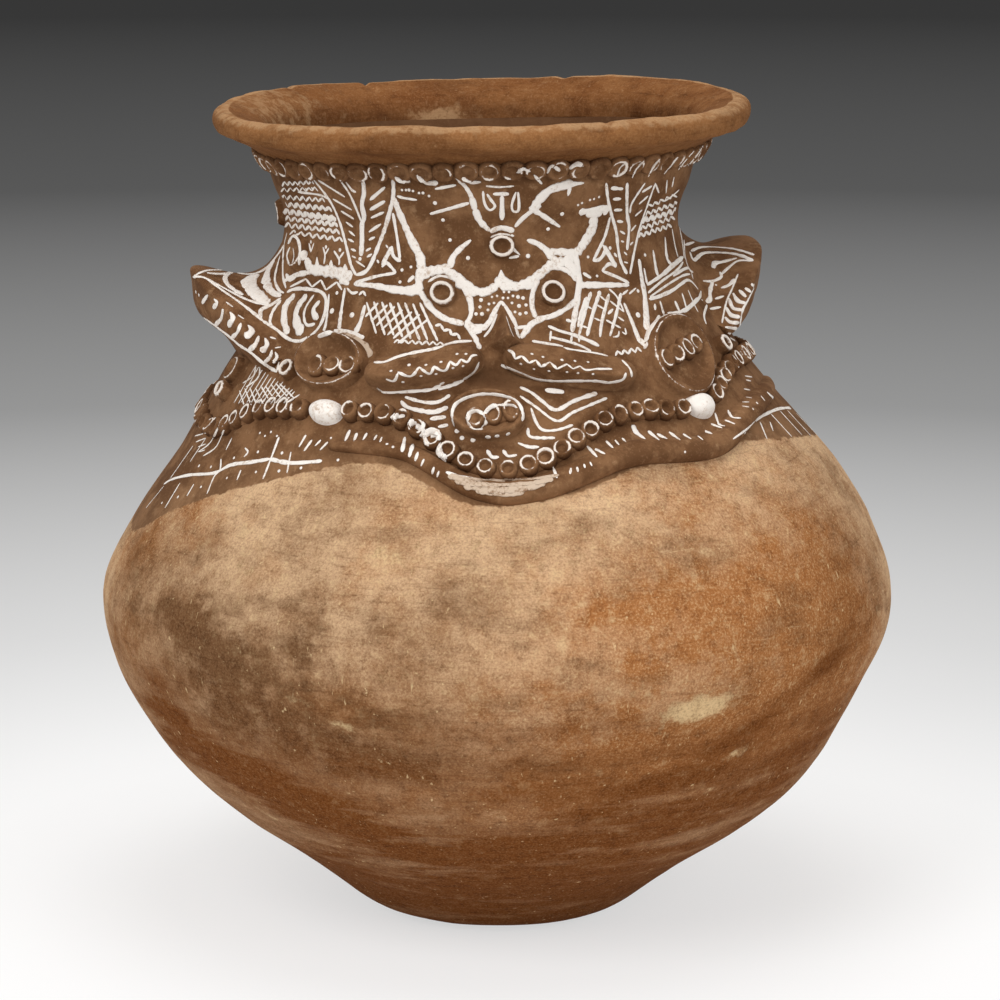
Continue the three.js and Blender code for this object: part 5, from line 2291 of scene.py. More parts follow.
@dataclass
class NeckPainting(Painting):
    """Leaves, triangles, hooks and zigzags painted round the neck."""

    name: str = "lime_neck_marks"
    lines: Marks = (
        # lime left on the fillet
        (3, 4, 395, 177, 402, 182, 410, 181), (3, 4.4, 417, 175, 424, 182, 438, 183),
        (4, 2.4, 462, 178, 470, 182, 481, 182), (2, 1.6, 486, 186, 500, 187, 514, 186),
        (3, 3, 517, 173, 523, 169, 530, 172), (2.4, 2.4, 534, 175, 542, 184),
        (3, 3, 547, 173, 552, 166, 560, 171), (4, 3.4, 569, 169, 577, 164, 583, 166),
        (1.6, 1.6, 617, 177, 620, 168, 626, 163), (1.6, 1.6, 632, 178, 637, 168, 644, 161),
        (1.6, 1.6, 648, 177, 654, 166, 660, 159), (1.6, 1.6, 664, 174, 672, 164, 678, 157),
        (1.6, 1.6, 678, 170, 686, 160, 694, 151), (1.4, 1.4, 688, 166, 697, 155, 703, 146),
        # left leaf: sides, midrib and veins
        (2.6, 3, 314, 180, 330, 201, 340, 223, 347, 249, 351, 265, 356, 275),
        (3.4, 3.6, 393, 180, 393, 197, 386, 225, 378, 247, 371, 264, 365, 272, 356, 275),
        (3.4, 5.5, 363, 180, 364, 193, 362, 204, 364, 217, 362, 225, 362, 241, 361, 256),
        (2.2, 2.6, 340, 180, 349, 193, 356, 208, 361, 221), (2, 1.8, 318, 180, 345, 197),
        (2, 2, 333, 199, 352, 210), (2.2, 2, 341, 211, 354, 219), (2, 2, 346, 222, 353, 227),
        (2.4, 2, 349, 231, 355, 236), (2, 2, 348, 239, 354, 242), (2, 2, 351, 249, 356, 251),
        (2, 1.6, 352, 256, 356, 258), (3, 2.4, 370, 200, 385, 187), (3, 2.6, 370, 210, 385, 201),
        (2.6, 2.2, 371, 218, 384, 212), (2.4, 2.2, 369, 232, 381, 224),
        (2.4, 2, 369, 240, 375, 237), (2.4, 2, 366, 251, 371, 248), (2.4, 2, 367, 257, 372, 254),
        (2, 1.8, 356, 261, 365, 267), (2, 2.6, 346, 182, 352, 190, 356, 192),
        # left zigzag border and stalks
        (2, 2, 298, 192, 320, 195, 328, 199), (2, 2.4, 309, 243, 311, 252),
        (2, 2, 314, 243, 311, 252), (2, 2.2, 323, 247, 325, 255, 324, 264),
        (2, 2, 329, 248, 325, 255), (2.4, 2.2, 334, 251, 339, 259, 339, 265),
        (2.2, 2, 344, 252, 339, 259), (7, 9, 302, 251, 310, 268),
        (9, 10, 308, 269, 324, 271, 338, 273, 352, 277), (7, 2, 317, 267, 317, 257),
        (8, 2, 331, 268, 331, 260), (8, 2, 345, 272, 345, 264),
        (4, 5, 284, 281, 296, 275, 308, 273), (8, 5, 340, 279, 349, 284),
        (2.2, 2.2, 290, 287, 300, 282, 306, 279), (2.2, 2.2, 306, 279, 312, 287),
        (2.2, 2.2, 312, 287, 321, 280), (2.2, 2.2, 321, 280, 326, 290),
        (2.2, 2.2, 326, 290, 337, 282), (2.2, 2.2, 337, 282, 342, 290),
        (2.4, 2.2, 347, 288, 352, 293, 358, 292), (2.2, 2.2, 359, 295, 363, 291),
        (2.2, 2.2, 363, 291, 366, 296), (2.2, 3, 329, 294, 326, 323, 323, 332),
        (2.6, 4, 345, 288, 341, 313, 339, 330), (3, 5, 365, 305, 360, 323, 355, 333),
        (4, 4, 318, 337, 328, 333, 340, 331, 352, 333, 364, 338),
        # left triangle with its hook
        (5, 8, 393, 197, 400, 214, 410, 237, 420, 257, 421, 269),
        (2.6, 2.6, 393, 213, 397, 237, 400, 259), (3, 3, 401, 261, 395, 258, 392, 252, 392, 246),
        (4.2, 3, 392, 247, 382, 265), (3, 2.6, 382, 267, 387, 263, 396, 273),
        (2.4, 3, 396, 273, 378, 276, 361, 281, 354, 284),
        (4, 7, 354, 284, 376, 286, 398, 290, 418, 288), (2, 2, 386, 245, 388, 248),
        (2.4, 2, 377, 260, 379, 263), (3, 3.4, 408, 282, 414, 276),
        (2.4, 1.8, 397, 196, 404, 198, 417, 200), (3.4, 3, 393, 203, 399, 203),
        # right flag and triangle with its hook
        (6, 7, 579, 212, 591, 211, 609, 208), (8, 9, 586, 214, 602, 213),
        (10, 9, 592, 217, 595, 226), (9, 7, 595, 222, 590, 233, 582, 246, 576, 254),
        (6, 3, 603, 214, 609, 210), (2.6, 3, 610, 217, 605, 236, 598, 251, 593, 261),
        (3, 3.4, 593, 261, 600, 259, 605, 251, 603, 245), (4, 4.4, 604, 246, 616, 267),
        (3, 2.6, 616, 267, 609, 264, 602, 271), (2.6, 3, 602, 271, 617, 277, 629, 283),
        (3.4, 6, 629, 285, 606, 285, 580, 285), (3.4, 3, 583, 273, 591, 278),
        (2.6, 2.2, 614, 253, 617, 257),
        # right leaf: sides, midrib and veins
        (2.6, 3.6, 606, 183, 609, 205, 616, 231, 618, 248, 621, 262, 627, 274),
        (3.4, 3.4, 627, 183, 627, 213, 629, 227, 627, 250),
        (2.6, 2.6, 645, 183, 632, 203, 630, 213),
        (2.6, 2.6, 655, 184, 646, 209, 640, 227, 635, 248, 630, 274), (3.4, 3, 611, 188, 623, 189),
        (3, 2.6, 613, 199, 621, 199), (3, 2.6, 614, 210, 622, 210), (2.6, 2.4, 617, 221, 623, 222),
        (2.4, 2, 620, 231, 625, 234), (2.4, 2, 621, 241, 624, 242), (2.2, 2, 624, 252, 627, 255),
        (2.6, 2.2, 642, 192, 652, 186), (2.4, 2.2, 639, 204, 648, 196),
        (2.2, 2, 635, 216, 642, 210), (2.4, 2, 631, 231, 636, 225), (2.2, 2, 630, 245, 633, 242),
        (2.2, 2, 624, 262, 628, 263), (2.2, 2, 655, 183, 659, 193), (2.2, 2, 667, 180, 666, 193),
        (2.2, 2, 674, 177, 672, 187), (2, 2, 679, 190, 672, 196, 665, 201),
        # strokes that spread over the right cheek
        (3.4, 7, 639, 259, 642, 280, 645, 298, 647, 330), (2.4, 3, 644, 268, 647, 284),
        (3.4, 4, 647, 285, 662, 275, 672, 266, 683, 257), (2.6, 4.6, 653, 250, 656, 269, 658, 276),
        (3, 5.4, 665, 237, 667, 258, 672, 265), (2.4, 3, 672, 229, 675, 246, 678, 257),
        (2.4, 3, 679, 225, 682, 241, 684, 258), (2.2, 2.4, 648, 293, 662, 281, 677, 270, 683, 262),
        (2, 2, 650, 297, 667, 285, 682, 276, 690, 274), (2, 2.2, 650, 300, 667, 294, 686, 281),
        (3.4, 3, 655, 304, 655, 310), (2.4, 2.6, 660, 301, 664, 315), (3.4, 3, 675, 301, 680, 313),
        (2.6, 2.4, 682, 293, 687, 310), (2.4, 2.2, 688, 290, 694, 304, 698, 312),
        (2.6, 3, 650, 330, 656, 321, 668, 314, 680, 312, 690, 306, 698, 298),
        (3, 3, 646, 318, 650, 330, 656, 322),
    )
    dot_rows: Marks = (
        (3.2, 360, 259, 311, 242, 326, 247, 340, 250, 337, 293),
        (4.6, 332, 311, 352, 315, 638, 315),
        (3, 411, 267, 402, 270, 400, 282, 588, 257, 597, 276, 610, 248, 638, 291, 645, 255),
        (2, 300, 186, 306, 189, 312, 188, 291, 205, 295, 207, 594, 199, 599, 197, 590, 200, 582,
         203, 578, 205),
    )
    zigzags: Marks = (
        (2.4, 6, 4, 282, 184, 314, 182), (2, 6, 4, 281, 190, 318, 189),
        (2.2, 7, 4.5, 281, 197, 325, 200), (3.4, 8, 5, 282, 204, 332, 209),
        (5.5, 8, 5, 284, 211, 336, 219), (3.4, 8, 4.5, 285, 218, 338, 225),
        (3, 8, 4.5, 285, 225, 340, 232), (2.6, 7, 4.5, 290, 232, 343, 240),
        (2.4, 5, 4, 646, 207, 676, 195), (2.6, 6, 4.5, 645, 214, 678, 203),
        (4.4, 6, 5, 642, 221, 678, 210), (2.6, 6, 4.5, 640, 229, 674, 217),
        (2.8, 6, 4.5, 638, 236, 671, 225),
    )


@dataclass
class FacePainting(Painting):
    """Brow, eye sockets, forehead signs and crossed cheeks of the spirit face."""

    name: str = "lime_face_marks"
    lines: Marks = (
        # forehead: branches, signs and the button's collar
        (3, 5, 456, 179, 464, 185, 471, 196, 475, 210), (7, 3.4, 475, 209, 480, 221, 490, 231),
        (2.4, 2.6, 435, 189, 456, 185), (2.4, 3.4, 430, 214, 448, 209, 469, 203),
        (3, 3, 493, 194, 509, 194), (4, 4.4, 502, 196, 502, 220),
        (2, 2.4, 483, 191, 484, 201, 487, 208, 491, 210, 495, 206, 491, 200, 487, 194),
        (2, 2.4, 516, 192, 512, 204, 513, 211, 518, 211, 519, 204, 518, 192),
        (4, 4.6, 490, 232, 501, 228, 514, 231), (3, 3, 491, 237, 501, 234, 514, 236),
        (3, 1.6, 512, 248, 520, 255), (3, 2, 519, 256, 509, 258),
        (3, 5, 515, 227, 522, 219, 533, 210),
        (7, 8, 531, 211, 540, 199, 550, 190, 562, 186, 573, 183),
        (7, 2, 566, 186, 574, 184, 584, 183), (5, 1.6, 570, 187, 568, 196),
        (4.4, 3, 533, 210, 542, 215, 560, 227), (7, 8, 533, 212, 538, 203),
        # brow
        (3, 6.5, 471, 240, 461, 248, 453, 257, 450, 268), (9, 8, 420, 272, 432, 271, 450, 268),
        (8, 7, 446, 271, 456, 276, 466, 285, 480, 293), (7, 8, 478, 293, 488, 291, 497, 285),
        (2, 9, 501, 270, 502, 285), (8, 7, 500, 286, 510, 286, 520, 287),
        (7, 7, 518, 287, 532, 280, 544, 271, 553, 262),
        (3, 6.5, 527, 240, 538, 244, 547, 251, 553, 259), (8, 9, 551, 260, 562, 262, 574, 258),
        (7, 6, 549, 252, 562, 252, 576, 253), (6, 5, 575, 254, 578, 268, 580, 284),
        (9, 8, 565, 262, 573, 268, 577, 276),
        # where the strokes of the brow run together
        (5, 10, 398, 291, 410, 291, 421, 289), (6, 6, 422, 277, 430, 273),
        (7, 7, 449, 273, 458, 279), (9, 9, 457, 280, 468, 288, 477, 294),
        (9, 8, 496, 286, 503, 281, 512, 286), (6, 6, 525, 288, 534, 283),
        (7, 5, 466, 322, 474, 329, 482, 331),
        # eye sockets
        (8, 7, 421, 268, 419, 282, 419, 292),
        (5.5, 4.4, 420, 291, 426, 301, 434, 311, 446, 319, 464, 324),
        (5, 4.2, 463, 286, 470, 300, 471, 314, 466, 324),
        (4.4, 4, 538, 279, 533, 292, 532, 306, 536, 318),
        (4, 4.4, 536, 319, 552, 316, 567, 308, 577, 299),
        (6, 4.6, 580, 280, 578, 293, 576, 308, 572, 332),
        (5, 4, 542, 272, 554, 267, 567, 271, 577, 281),
        (2, 2, 428, 282, 440, 276, 456, 281, 465, 293),
        # beak
        (3, 5.5, 501, 301, 495, 311, 490, 321, 482, 330),
        (3, 5.5, 501, 301, 508, 311, 514, 323, 519, 338), (6, 4, 466, 323, 472, 333, 478, 342),
        (2, 2, 497, 314, 491, 328, 484, 337), (1.6, 1.6, 506, 316, 511, 331, 514, 337),
        (5, 5, 521, 338, 526, 331, 533, 323, 545, 318), (3, 3, 517, 328, 529, 326),
        (5, 4, 468, 327, 484, 326), (5, 4, 472, 332, 481, 331),
        (3, 4, 474, 338, 478, 344, 480, 349),
        # right cheek border
        (3, 4.4, 624, 303, 632, 322, 640, 343), (5, 9, 660, 316, 650, 329, 645, 342),
        (4, 7, 638, 338, 647, 347),
        # crossed strokes of the right cheek, long ones first
        (3.2, 2.6, 587, 297, 581, 313, 578, 327), (3.4, 2.6, 591, 292, 584, 315, 579, 335),
        (3.6, 2.8, 600, 291, 593, 313, 587, 336), (3.2, 2.4, 609, 294, 602, 321, 600, 337),
        (3.2, 2.4, 621, 293, 616, 315, 610, 336), (2, 1.6, 609, 289, 617, 297, 624, 312),
        (2.2, 1.6, 610, 301, 624, 312), (2, 1.6, 600, 296, 606, 301), (2, 1.6, 597, 305, 604, 309),
        (3, 2, 608, 314, 613, 309), (2, 1.6, 618, 317, 624, 321), (2, 1.6, 606, 320, 613, 324),
        (2, 1.6, 615, 325, 621, 328), (1.8, 1.6, 594, 318, 601, 321),
        (1.8, 1.6, 585, 305, 592, 309), (1.8, 1.6, 582, 326, 588, 328),
        (2, 1.6, 613, 337, 618, 336, 619, 331), (2, 1.6, 622, 332, 626, 334, 625, 328),
        (2.4, 3.6, 548, 326, 560, 331, 574, 335, 589, 341, 599, 346),
        (2.4, 2.4, 550, 337, 566, 341, 581, 346, 592, 352), (2.6, 2.2, 551, 331, 550, 341),
        (2.2, 2, 572, 335, 571, 342), (2, 2, 579, 336, 579, 342), (3, 2.4, 566, 320, 574, 322),
        (2, 1.6, 622, 295, 628, 290), (1.8, 1.6, 629, 294, 636, 288),
    )
    dot_rows: Marks = (
        (3.6, 443, 220, 450, 240, 468, 258, 435, 203, 562, 214, 548, 229, 528, 256),
        (2.6, 402, 190, 406, 190, 409, 190, 413, 191, 419, 193, 423, 193, 429, 196),
        (3.4, 481, 300, 480, 307, 476, 314, 482, 314, 518, 297, 523, 298, 519, 306, 526, 305, 520,
         314, 526, 313),
        (2.4, 492, 297, 497, 296, 489, 304, 494, 303, 488, 310, 504, 292, 509, 292, 503, 298, 508,
         298, 513, 296, 512, 303, 515, 312),
    )
    zigzags: Marks = (
        (2.2, 4, 5, 615, 354, 641, 349), (2.6, 3, 4, 436, 324, 461, 338),
        (2, 7, 4, 394, 341, 444, 344),
    )
    crossed: Marks = (
        (2.2, 8, 0, 367, 302, 420, 303, 437, 342, 377, 333),
        (2.2, 0, 7, 366, 316, 379, 302, 428, 318, 398, 344),
    )


@dataclass
class EarPainting(Painting):
    """Crescents and stripes on the ear lugs and at their roots."""

    name: str = "lime_ear_marks"
    lines: Marks = (
        # left ear: upper edge, ridge and crescents
        (3.4, 4.8, 194, 276, 205, 271, 218, 270, 234, 272, 245, 274, 256, 273, 267, 267, 279, 253,
         284, 245), (5, 6, 207, 273, 220, 274, 232, 273), (1.4, 1.4, 290, 247, 287, 256, 290, 266),
        (1.4, 1.4, 293, 248, 294, 256, 292, 265),
        (3, 3.4, 193, 277, 205, 278, 222, 290, 242, 304, 256, 315, 263, 321),
        (3, 3.4, 263, 321, 277, 330, 287, 338, 295, 341, 303, 340, 315, 332, 323, 319, 326, 301,
         321, 292, 307, 289, 295, 289, 287, 292),
        (2.6, 3.6, 206, 278, 224, 288, 248, 300, 270, 305),
        (4, 6, 233, 271, 226, 276, 226, 282, 233, 289, 243, 295),
        (11, 16, 256, 274, 249, 281, 250, 289), (16, 10, 250, 287, 257, 295, 269, 303),
        (7, 9, 274, 260, 267, 273, 266, 284), (9, 6, 266, 283, 272, 292, 281, 296),
        (7, 4, 258, 273, 268, 267, 277, 256),
        (2.6, 2.6, 280, 256, 276, 271, 275, 281, 279, 290, 284, 293),
        (2.4, 2.6, 283, 259, 283, 276, 286, 288), (3.4, 4, 281, 298, 271, 305, 261, 310, 261, 318),
        (3, 2.6, 281, 300, 273, 311, 270, 321, 272, 326),
        (6, 7, 295, 295, 286, 305, 284, 320, 288, 334),
        (7, 10, 307, 295, 298, 307, 296, 320, 302, 334),
        (2.6, 3.4, 314, 295, 306, 307, 304, 317, 307, 325, 315, 324),
        (4, 6, 320, 301, 314, 308, 314, 314, 318, 319),
        # left ear: lower band
        (3, 3.2, 204, 318, 214, 325, 231, 338, 239, 345, 250, 352, 263, 363, 277, 372),
        (3, 6, 208, 295, 202, 303), (2.4, 4.6, 214, 299, 217, 303, 213, 308),
        (2.6, 6.5, 230, 312, 233, 318, 228, 326), (3, 8, 248, 325, 252, 331, 245, 337),
        (2.6, 6, 265, 338, 267, 345, 261, 352), (2, 4, 275, 352, 277, 357, 273, 363),
        (3, 4.4, 223, 309, 221, 319, 215, 325), (2.6, 4, 241, 323, 237, 333, 231, 338),
        (3, 4.4, 259, 336, 255, 345, 248, 351), (2.6, 3.8, 272, 350, 270, 357, 264, 363),
        (2.4, 3, 279, 362, 277, 371), (1.8, 1.6, 226, 302, 233, 307),
        (1.6, 1.6, 238, 315, 244, 319), (1.8, 1.6, 270, 337, 276, 339),
        (1.6, 1.6, 275, 348, 281, 347),
        # left neck beside the ear
        (2.4, 2.6, 287, 233, 284, 246, 283, 259),
        (2.4, 2.6, 288, 244, 293, 236, 298, 240, 300, 250, 299, 265),
        (3.4, 4, 286, 274, 291, 280, 300, 273, 310, 273), (2, 2.2, 256, 366, 253, 376, 243, 383),
        (2, 2, 260, 367, 258, 378, 246, 387),
        # right ear: upper arcs and branches
        (2.6, 3.4, 691, 251, 703, 247, 727, 248, 742, 251, 754, 255),
        (4, 4.4, 690, 252, 694, 260, 704, 253, 727, 253, 742, 256, 753, 261),
        (6, 2.6, 713, 268, 715, 263, 722, 262, 737, 258),
        (3, 2.6, 722, 274, 727, 269, 738, 261, 752, 261),
        (2.4, 3, 703, 281, 713, 281, 721, 277, 720, 272),
        (3, 5, 713, 281, 710, 291, 710, 299, 706, 302), (3, 3.4, 707, 305, 704, 315, 706, 324),
        (5, 2, 735, 279, 729, 285, 721, 288), (2.4, 2.4, 715, 299, 724, 296),
        (2.6, 2.2, 710, 309, 721, 307),
        (1.6, 1.6, 738, 274, 732, 289, 727, 300, 724, 312, 722, 323),
        # right ear: striped edge
        (2.6, 3, 754, 288, 748, 300, 743, 309, 741, 318, 739, 332), (5, 4, 751, 284, 755, 287),
        (3.4, 4, 745, 288, 751, 292), (2.6, 4.4, 739, 290, 746, 297),
        (2.6, 4, 733, 293, 738, 301, 746, 303), (2.4, 3.6, 729, 298, 733, 308, 743, 310),
        (2.6, 4, 726, 307, 731, 315, 740, 317), (2.6, 3.6, 725, 317, 730, 322, 739, 323),
        (2.4, 3, 725, 327, 738, 329), (2.4, 3, 728, 333, 737, 336), (2.2, 2.6, 730, 338, 736, 341),
        # right neck beside the ear
        (3, 7, 680, 226, 689, 236), (2.4, 2.6, 685, 245, 694, 242),
        (2.6, 2.6, 684, 240, 685, 256, 689, 269, 693, 272),
        (2.4, 2.4, 673, 276, 688, 268, 693, 279),
        (2, 2.4, 649, 299, 660, 295, 674, 289, 688, 280, 698, 289),
        (2.6, 3.4, 701, 291, 699, 298, 690, 307, 683, 312),
    )
    dot_rows: Marks = ((2.8, 196, 292, 199, 295), (2, 702, 300, 716, 285))
    crossed: Marks = (
        (1.5, 14, 0, 256, 365, 299, 394, 287, 403, 234, 403),
        (1.3, 9, 0, 240, 390, 280, 383, 295, 398, 244, 406),
    )


@dataclass
class MouthPainting(Painting):
    """Waves on the mouth lobes, rings of the chin and the strokes between them."""

    name: str = "lime_mouth_marks"
    lines: Marks = (
        # left lobe
        (3, 4, 374, 362, 384, 362, 397, 357, 412, 353, 433, 349, 446, 345),
        (2.4, 2.4, 444, 345, 456, 342, 472, 341), (2.6, 2.6, 386, 379, 394, 381, 398, 373),
        (2.6, 2.6, 398, 372, 407, 376, 413, 375, 419, 367),
        (2.6, 2.6, 419, 367, 427, 373, 431, 373, 434, 366),
        (2.4, 2.4, 434, 366, 440, 370, 446, 370, 450, 361),
        (2.2, 2.2, 450, 361, 456, 365, 461, 359), (2.2, 2, 461, 359, 467, 362, 472, 356, 477, 355),
        (2.6, 3, 377, 388, 384, 392, 397, 392, 418, 391, 433, 389, 444, 382),
        (4, 3, 438, 389, 455, 384, 473, 373, 479, 362),
        # right lobe
        (2.2, 2.2, 508, 350, 513, 353, 515, 359), (2.2, 2.2, 515, 359, 522, 356),
        (2.2, 2.2, 522, 356, 529, 363), (2.2, 2.2, 529, 363, 536, 360),
        (2.2, 2.2, 536, 360, 541, 367), (2.2, 2.2, 541, 367, 550, 362),
        (2.2, 2.2, 550, 362, 557, 369), (2.2, 2.2, 557, 369, 567, 364),
        (2.2, 2.2, 567, 364, 573, 369), (2.2, 2.2, 573, 369, 580, 366),
        (2.2, 3, 580, 366, 586, 370, 597, 369, 612, 369),
        (2.4, 2.4, 532, 341, 560, 346, 569, 349, 595, 353, 608, 356),
        (3, 4, 501, 365, 521, 373, 536, 379, 553, 381, 574, 381, 595, 381, 609, 383),
        (4, 3, 607, 383, 622, 380, 626, 373), (2.4, 3, 622, 360, 630, 369, 632, 377),
        # chin: medallion edge and the lines under the lobes
        (3, 3, 454, 426, 452, 415, 455, 405, 466, 398, 483, 394, 504, 396, 518, 403, 523, 414, 522,
         421),
        (4, 4, 467, 421, 470, 413, 477, 411, 484, 415, 485, 422, 480, 429, 472, 428, 467, 421),
        (4, 2.4, 484, 414, 493, 406, 511, 405, 517, 408),
        (3, 3.4, 405, 397, 423, 402, 438, 402, 450, 395),
        (3.4, 4.6, 401, 401, 407, 407, 422, 411, 435, 412, 448, 407),
        (3.4, 3.8, 430, 419, 446, 417), (3, 3.8, 438, 427, 448, 425),
        (5, 6, 420, 436, 431, 431, 441, 434), (6, 5, 425, 437, 428, 446),
        (4, 5, 441, 443, 439, 448, 446, 459),
        (2.6, 4, 520, 387, 532, 393, 542, 401, 556, 410, 574, 401, 597, 393),
        (2.2, 2.6, 520, 396, 536, 407, 557, 421, 574, 412, 607, 398),
        (2.2, 2.4, 531, 408, 536, 422, 543, 430, 557, 430, 573, 425),
        (2.6, 3, 528, 428, 531, 437, 555, 438), (2.6, 3, 518, 443, 529, 447, 539, 447),
        (4, 5, 545, 390, 564, 392), (3, 3, 487, 450, 492, 457, 499, 457),
        (3, 3, 503, 450, 508, 456, 517, 455),
    )
    dot_rows: Marks = (
        (2.8, 391, 371, 409, 365, 426, 365, 441, 362, 403, 382, 421, 376, 436, 374, 457, 354, 466,
         354, 453, 368, 463, 366),
        (2.6, 532, 354, 543, 357, 562, 360, 575, 361, 588, 362, 521, 364, 534, 369, 549, 371, 567,
         372, 578, 373, 593, 374),
        (4.6, 457, 431, 462, 438, 473, 440, 488, 437, 497, 436, 508, 434),
    )


@dataclass
class ShoulderPainting(Painting):
    """Lines and ticks on the slip of the shoulder, and ticks along the ledge."""

    name: str = "lime_shoulder_marks"
    lines: Marks = (
        # left shoulder
        (2.8, 3.6, 164, 484, 173, 479, 190, 475, 214, 473, 231, 465, 252, 462, 270, 459),
        (3.6, 3.6, 270, 459, 291, 463, 322, 461), (2, 2, 221, 459, 220, 470, 214, 477, 207, 494),
        (2.4, 2, 279, 437, 272, 456, 263, 479), (1.8, 1.6, 291, 452, 287, 473),
        (2, 1.8, 241, 470, 237, 480), (2, 1.8, 194, 484, 187, 496), (2, 1.8, 180, 483, 165, 508),
        (2, 2, 245, 448, 248, 452, 244, 457), (2, 1.8, 224, 430, 216, 447, 203, 456),
        (1.8, 1.8, 218, 428, 210, 443, 198, 452), (1.8, 1.6, 193, 446, 170, 479),
        (1.6, 1.4, 164, 486, 146, 508), (1.8, 1.6, 206, 438, 190, 462),
        (1.6, 1.6, 232, 438, 226, 450), (1.4, 1.2, 195, 436, 206, 433),
        (1.4, 1.2, 196, 442, 206, 438), (1.4, 1.2, 198, 447, 206, 444),
        (1.4, 1.2, 199, 452, 205, 450),
        # ticks along the ledge, from left to right
        (2.4, 2, 306, 435, 299, 447), (2.2, 2, 312, 440, 304, 451), (2.2, 2, 321, 440, 315, 446),
        (2.2, 2, 328, 442, 320, 450), (3, 2.6, 350, 430, 345, 441), (3, 2.4, 357, 433, 354, 441),
        (3, 2.4, 367, 433, 363, 440), (2.6, 2, 377, 435, 374, 440), (3, 4, 405, 437, 402, 452),
        (3, 3.4, 413, 444, 409, 457), (2.6, 2.6, 418, 452, 415, 461),
        (2.4, 2.4, 553, 467, 557, 478), (3, 2, 446, 472, 458, 476, 474, 478),
        (2.4, 2, 424, 459, 421, 466), (2.4, 2, 434, 467, 432, 474), (2, 2, 439, 471, 437, 477),
        (2, 2, 382, 437, 380, 442), (2.6, 2.2, 571, 468, 570, 474), (2.2, 2, 577, 467, 578, 472),
        (2, 2, 584, 464, 585, 468), (2, 2, 590, 462, 592, 466), (2.2, 2, 615, 440, 619, 445),
        (2, 2, 622, 438, 626, 442),
        # lime smeared on the chain left of the chin
        (5, 5, 391, 418, 398, 416, 405, 416), (7, 9, 408, 424, 416, 424, 424, 428),
        (9, 6, 421, 433, 430, 434, 441, 438), (4, 4, 425, 438, 428, 446),
        (5, 4, 441, 444, 438, 452, 446, 462),
        # more ticks along the ledge, to the right
        (3, 2.6, 587, 446, 597, 457), (3, 2.4, 595, 449, 605, 454), (2.6, 2, 606, 441, 613, 448),
        (5, 3, 633, 425, 636, 432, 645, 439), (3.4, 2.6, 648, 431, 659, 440),
        (3, 2.4, 657, 434, 667, 439), (3, 2.4, 669, 432, 680, 440), (2.6, 2.2, 683, 434, 691, 439),
        (2.6, 2, 698, 436, 703, 440), (4, 2.6, 705, 431, 712, 434), (3, 2.4, 711, 424, 722, 428),
        (2.6, 2.2, 715, 413, 719, 424, 725, 426), (2.4, 2, 725, 420, 735, 424),
        (2.4, 2, 728, 410, 732, 417, 741, 418),
        # right shoulder
        (1.6, 3, 733, 439, 747, 429, 759, 418, 778, 409, 794, 408), (2, 1.6, 760, 422, 767, 439),
        (2, 1.6, 770, 422, 773, 431), (2, 1.6, 771, 414, 792, 437), (2, 1.6, 780, 411, 802, 435),
        (2, 1.6, 787, 410, 811, 436), (1.8, 1.4, 796, 413, 818, 436), (2.4, 2, 761, 396, 765, 401),
        (3, 2.4, 767, 392, 774, 399), (1.6, 1.6, 745, 376, 752, 377),
        (1.6, 1.6, 746, 380, 751, 381), (1.6, 1.6, 744, 389, 750, 390),
        (1.6, 1.6, 746, 397, 752, 398), (1.6, 1.6, 742, 402, 749, 402),
        (1.6, 1.6, 742, 406, 749, 407),
    )
    dot_rows: Marks = (
        (2.8, 234, 458, 258, 452, 282, 453, 211, 467, 199, 466, 227, 478, 256, 472, 279, 471, 301,
         468, 201, 487, 178, 497, 162, 503, 338, 460),
        (2.4, 260, 433, 265, 436, 271, 432, 277, 436, 387, 444, 393, 447, 757, 403, 685, 452, 331,
         438, 753, 409, 745, 433),
    )


@dataclass
class WashPainting(Painting):
    """A thin wash of lime on the ledge below the chin, and beside the left cheek's saucer."""

    name: str = "lime_wash_marks"
    lines: Marks = (
        (5, 4, 448, 476, 470, 479, 500, 480, 530, 479, 559, 475),
        (6, 5, 455, 480, 478, 484, 503, 485, 532, 483, 553, 479),
        (6, 5, 464, 485, 485, 489, 505, 490, 528, 488, 545, 483),
        (5, 4, 476, 490, 492, 493, 508, 494, 524, 492),
        (3, 9, 341, 332, 353, 337, 364, 346, 370, 357),
    )

    def lime(self, finishes: Finishes) -> Material:
        """The thin lime of the wash."""
        return finishes.wash


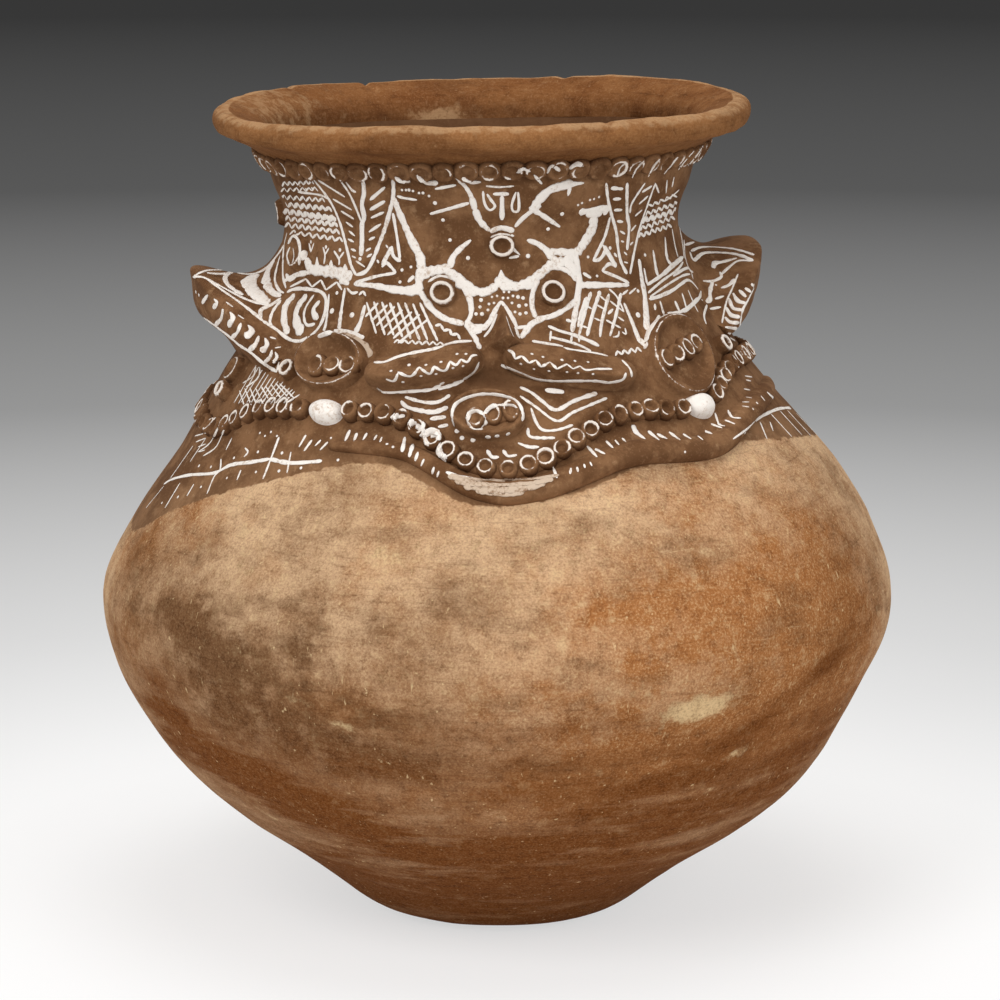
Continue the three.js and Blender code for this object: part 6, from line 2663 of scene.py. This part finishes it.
@dataclass
class Studio:
    """A pale floor with a painted pool of light that fades to dark grey into the distance, and soft
    light.
    """

    floor_radius: float = 14.0
    rings: int = 60
    sectors: int = 96
    falloff_shades: tuple[tuple[float, int], ...] = (
        (0.0, 255), (0.4, 255), (0.8, 226), (1.9, 160), (4.0, 98), (8.0, 63), (14.0, 58),
    )
    floor_roughness: float = 0.9
    lamps: Rows = (
        ("key_lamp", (-1.5, -2.3, 2.3), 1.9, 48.0),
        ("fill_lamp", (1.9, -2.2, 1.5), 1.9, 24.0),
        ("top_lamp", (0.1, -0.2, 2.6), 1.8, 20.0),
    )
    lamp_aim: Triple = (0, 0, 0.3)
    sky: float = 0.44
    sky_colour: Colour = (1.0, 0.985, 0.965, 1.0)
    backdrop: float = 0.6

    def build(self) -> None:
        """Builds the floor, the lamps and the world."""
        self.build_floor()
        for name, place, size, power in self.lamps:
            data = bpy.data.lights.new(name, "AREA")
            data.shape = "DISK"
            data.size = size
            data.energy = power
            lamp = new_object(name, data)
            lamp.location = place
            aim = Vector(self.lamp_aim) - Vector(place)
            lamp.rotation_euler = aim.to_track_quat("-Z", "Y").to_euler()
        world = bpy.data.worlds.new("soft_room")
        world.use_nodes = True
        light = world.node_tree.nodes["Background"].inputs
        light["Color"].default_value = self.sky_colour
        light["Strength"].default_value = self.sky
        bpy.context.scene.world = world
        bpy.context.scene.view_settings.view_transform = "Standard"

    def build_floor(self) -> None:
        """Builds the floor."""
        way = np.linspace(0, 2 * math.pi, self.sectors, endpoint=False)
        reach = self.floor_radius * np.linspace(0, 1, self.rings + 1)[1:, None] ** 2
        x, y = reach * np.cos(way), reach * np.sin(way)
        ring = np.column_stack([x.ravel(), y.ravel(), np.zeros(x.size)])
        faces = flipped(loop_faces(self.rings, self.sectors))
        faces += [(len(ring), j, (j + 1) % self.sectors) for j in range(self.sectors)]
        mesh = bpy.data.meshes.new("floor")
        mesh.from_pydata([*ring.tolist(), (0, 0, 0)], [], faces)
        mesh.materials.append(self.floor_material())
        new_object("floor", mesh)

    def floor_material(self) -> Material:
        """Builds the floor's finish: a painted pool of light, palest under the jar and darker
        further off, and partly lit by itself.

        Returns:
            The material.
        """
        material, sheet, shader, place = new_material("pale_floor", self.floor_roughness, 0.0)
        # painted pool of light: the floor's colour darkens with distance from the jar
        far = sheet.add("ShaderNodeVectorMath", {0: place}, operation="LENGTH").outputs["Value"]
        ramp = sheet.add("ShaderNodeValToRGB", {0: sheet.math("DIVIDE", far, self.floor_radius)})
        stops, colour = ramp.color_ramp.elements, ramp.outputs["Color"]
        for _ in range(len(self.falloff_shades) - len(stops)):
            stops.new(0.5)
        for stop, (distance, shade) in zip(stops, self.falloff_shades):
            stop.position = distance / self.floor_radius
            stop.color = srgb(shade, shade, shade)
        sheet.link(colour, shader.inputs["Base Color"])
        rays = sheet.add("ShaderNodeLightPath").outputs
        seen = sheet.math("MAXIMUM", rays["Is Glossy Ray"], rays["Is Transmission Ray"])
        seen = sheet.math("MAXIMUM", seen, rays["Is Camera Ray"])
        seen = sheet.math("MULTIPLY", seen, self.backdrop)
        glow = sheet.add("ShaderNodeEmission", {"Color": colour, "Strength": 1.0}).outputs[0]
        inputs = {0: seen, 1: shader.outputs[0], 2: glow}
        mixed = sheet.add("ShaderNodeMixShader", inputs).outputs[0]
        sheet.link(mixed, material.node_tree.nodes["Material Output"].inputs["Surface"])
        return material


def main() -> None:
    """Builds the jar, paints it and lights it."""
    logging.basicConfig(level=logging.INFO, format="%(message)s")
    wall, view = JarWall(), FrontView()
    view.set_camera()
    finishes = Finishes()
    beads = BeadRow()
    pieces = CoiledWall(wall, view).build(finishes)
    pieces += RimFillet(wall).build(finishes, beads)
    pieces += SpiritFace(wall).build(finishes)
    pieces += Saucers(wall).build(finishes, beads)
    pieces += EarLugs(wall).build(finishes)
    pieces += ShoulderChain(wall).build(finishes, beads)
    beads.clear()
    graph = bpy.context.evaluated_depsgraph_get()
    brush = LimeBrush(view, [BVHTree.FromObject(piece, graph) for piece in pieces])
    for painting in (
        NeckPainting, FacePainting, EarPainting, MouthPainting, ShoulderPainting, WashPainting,
    ):
        pieces.append(painting().paint(brush, finishes))
    Studio().build()
    LOG.info("%d pieces", len(pieces))


if __name__ == "__main__":
    main()
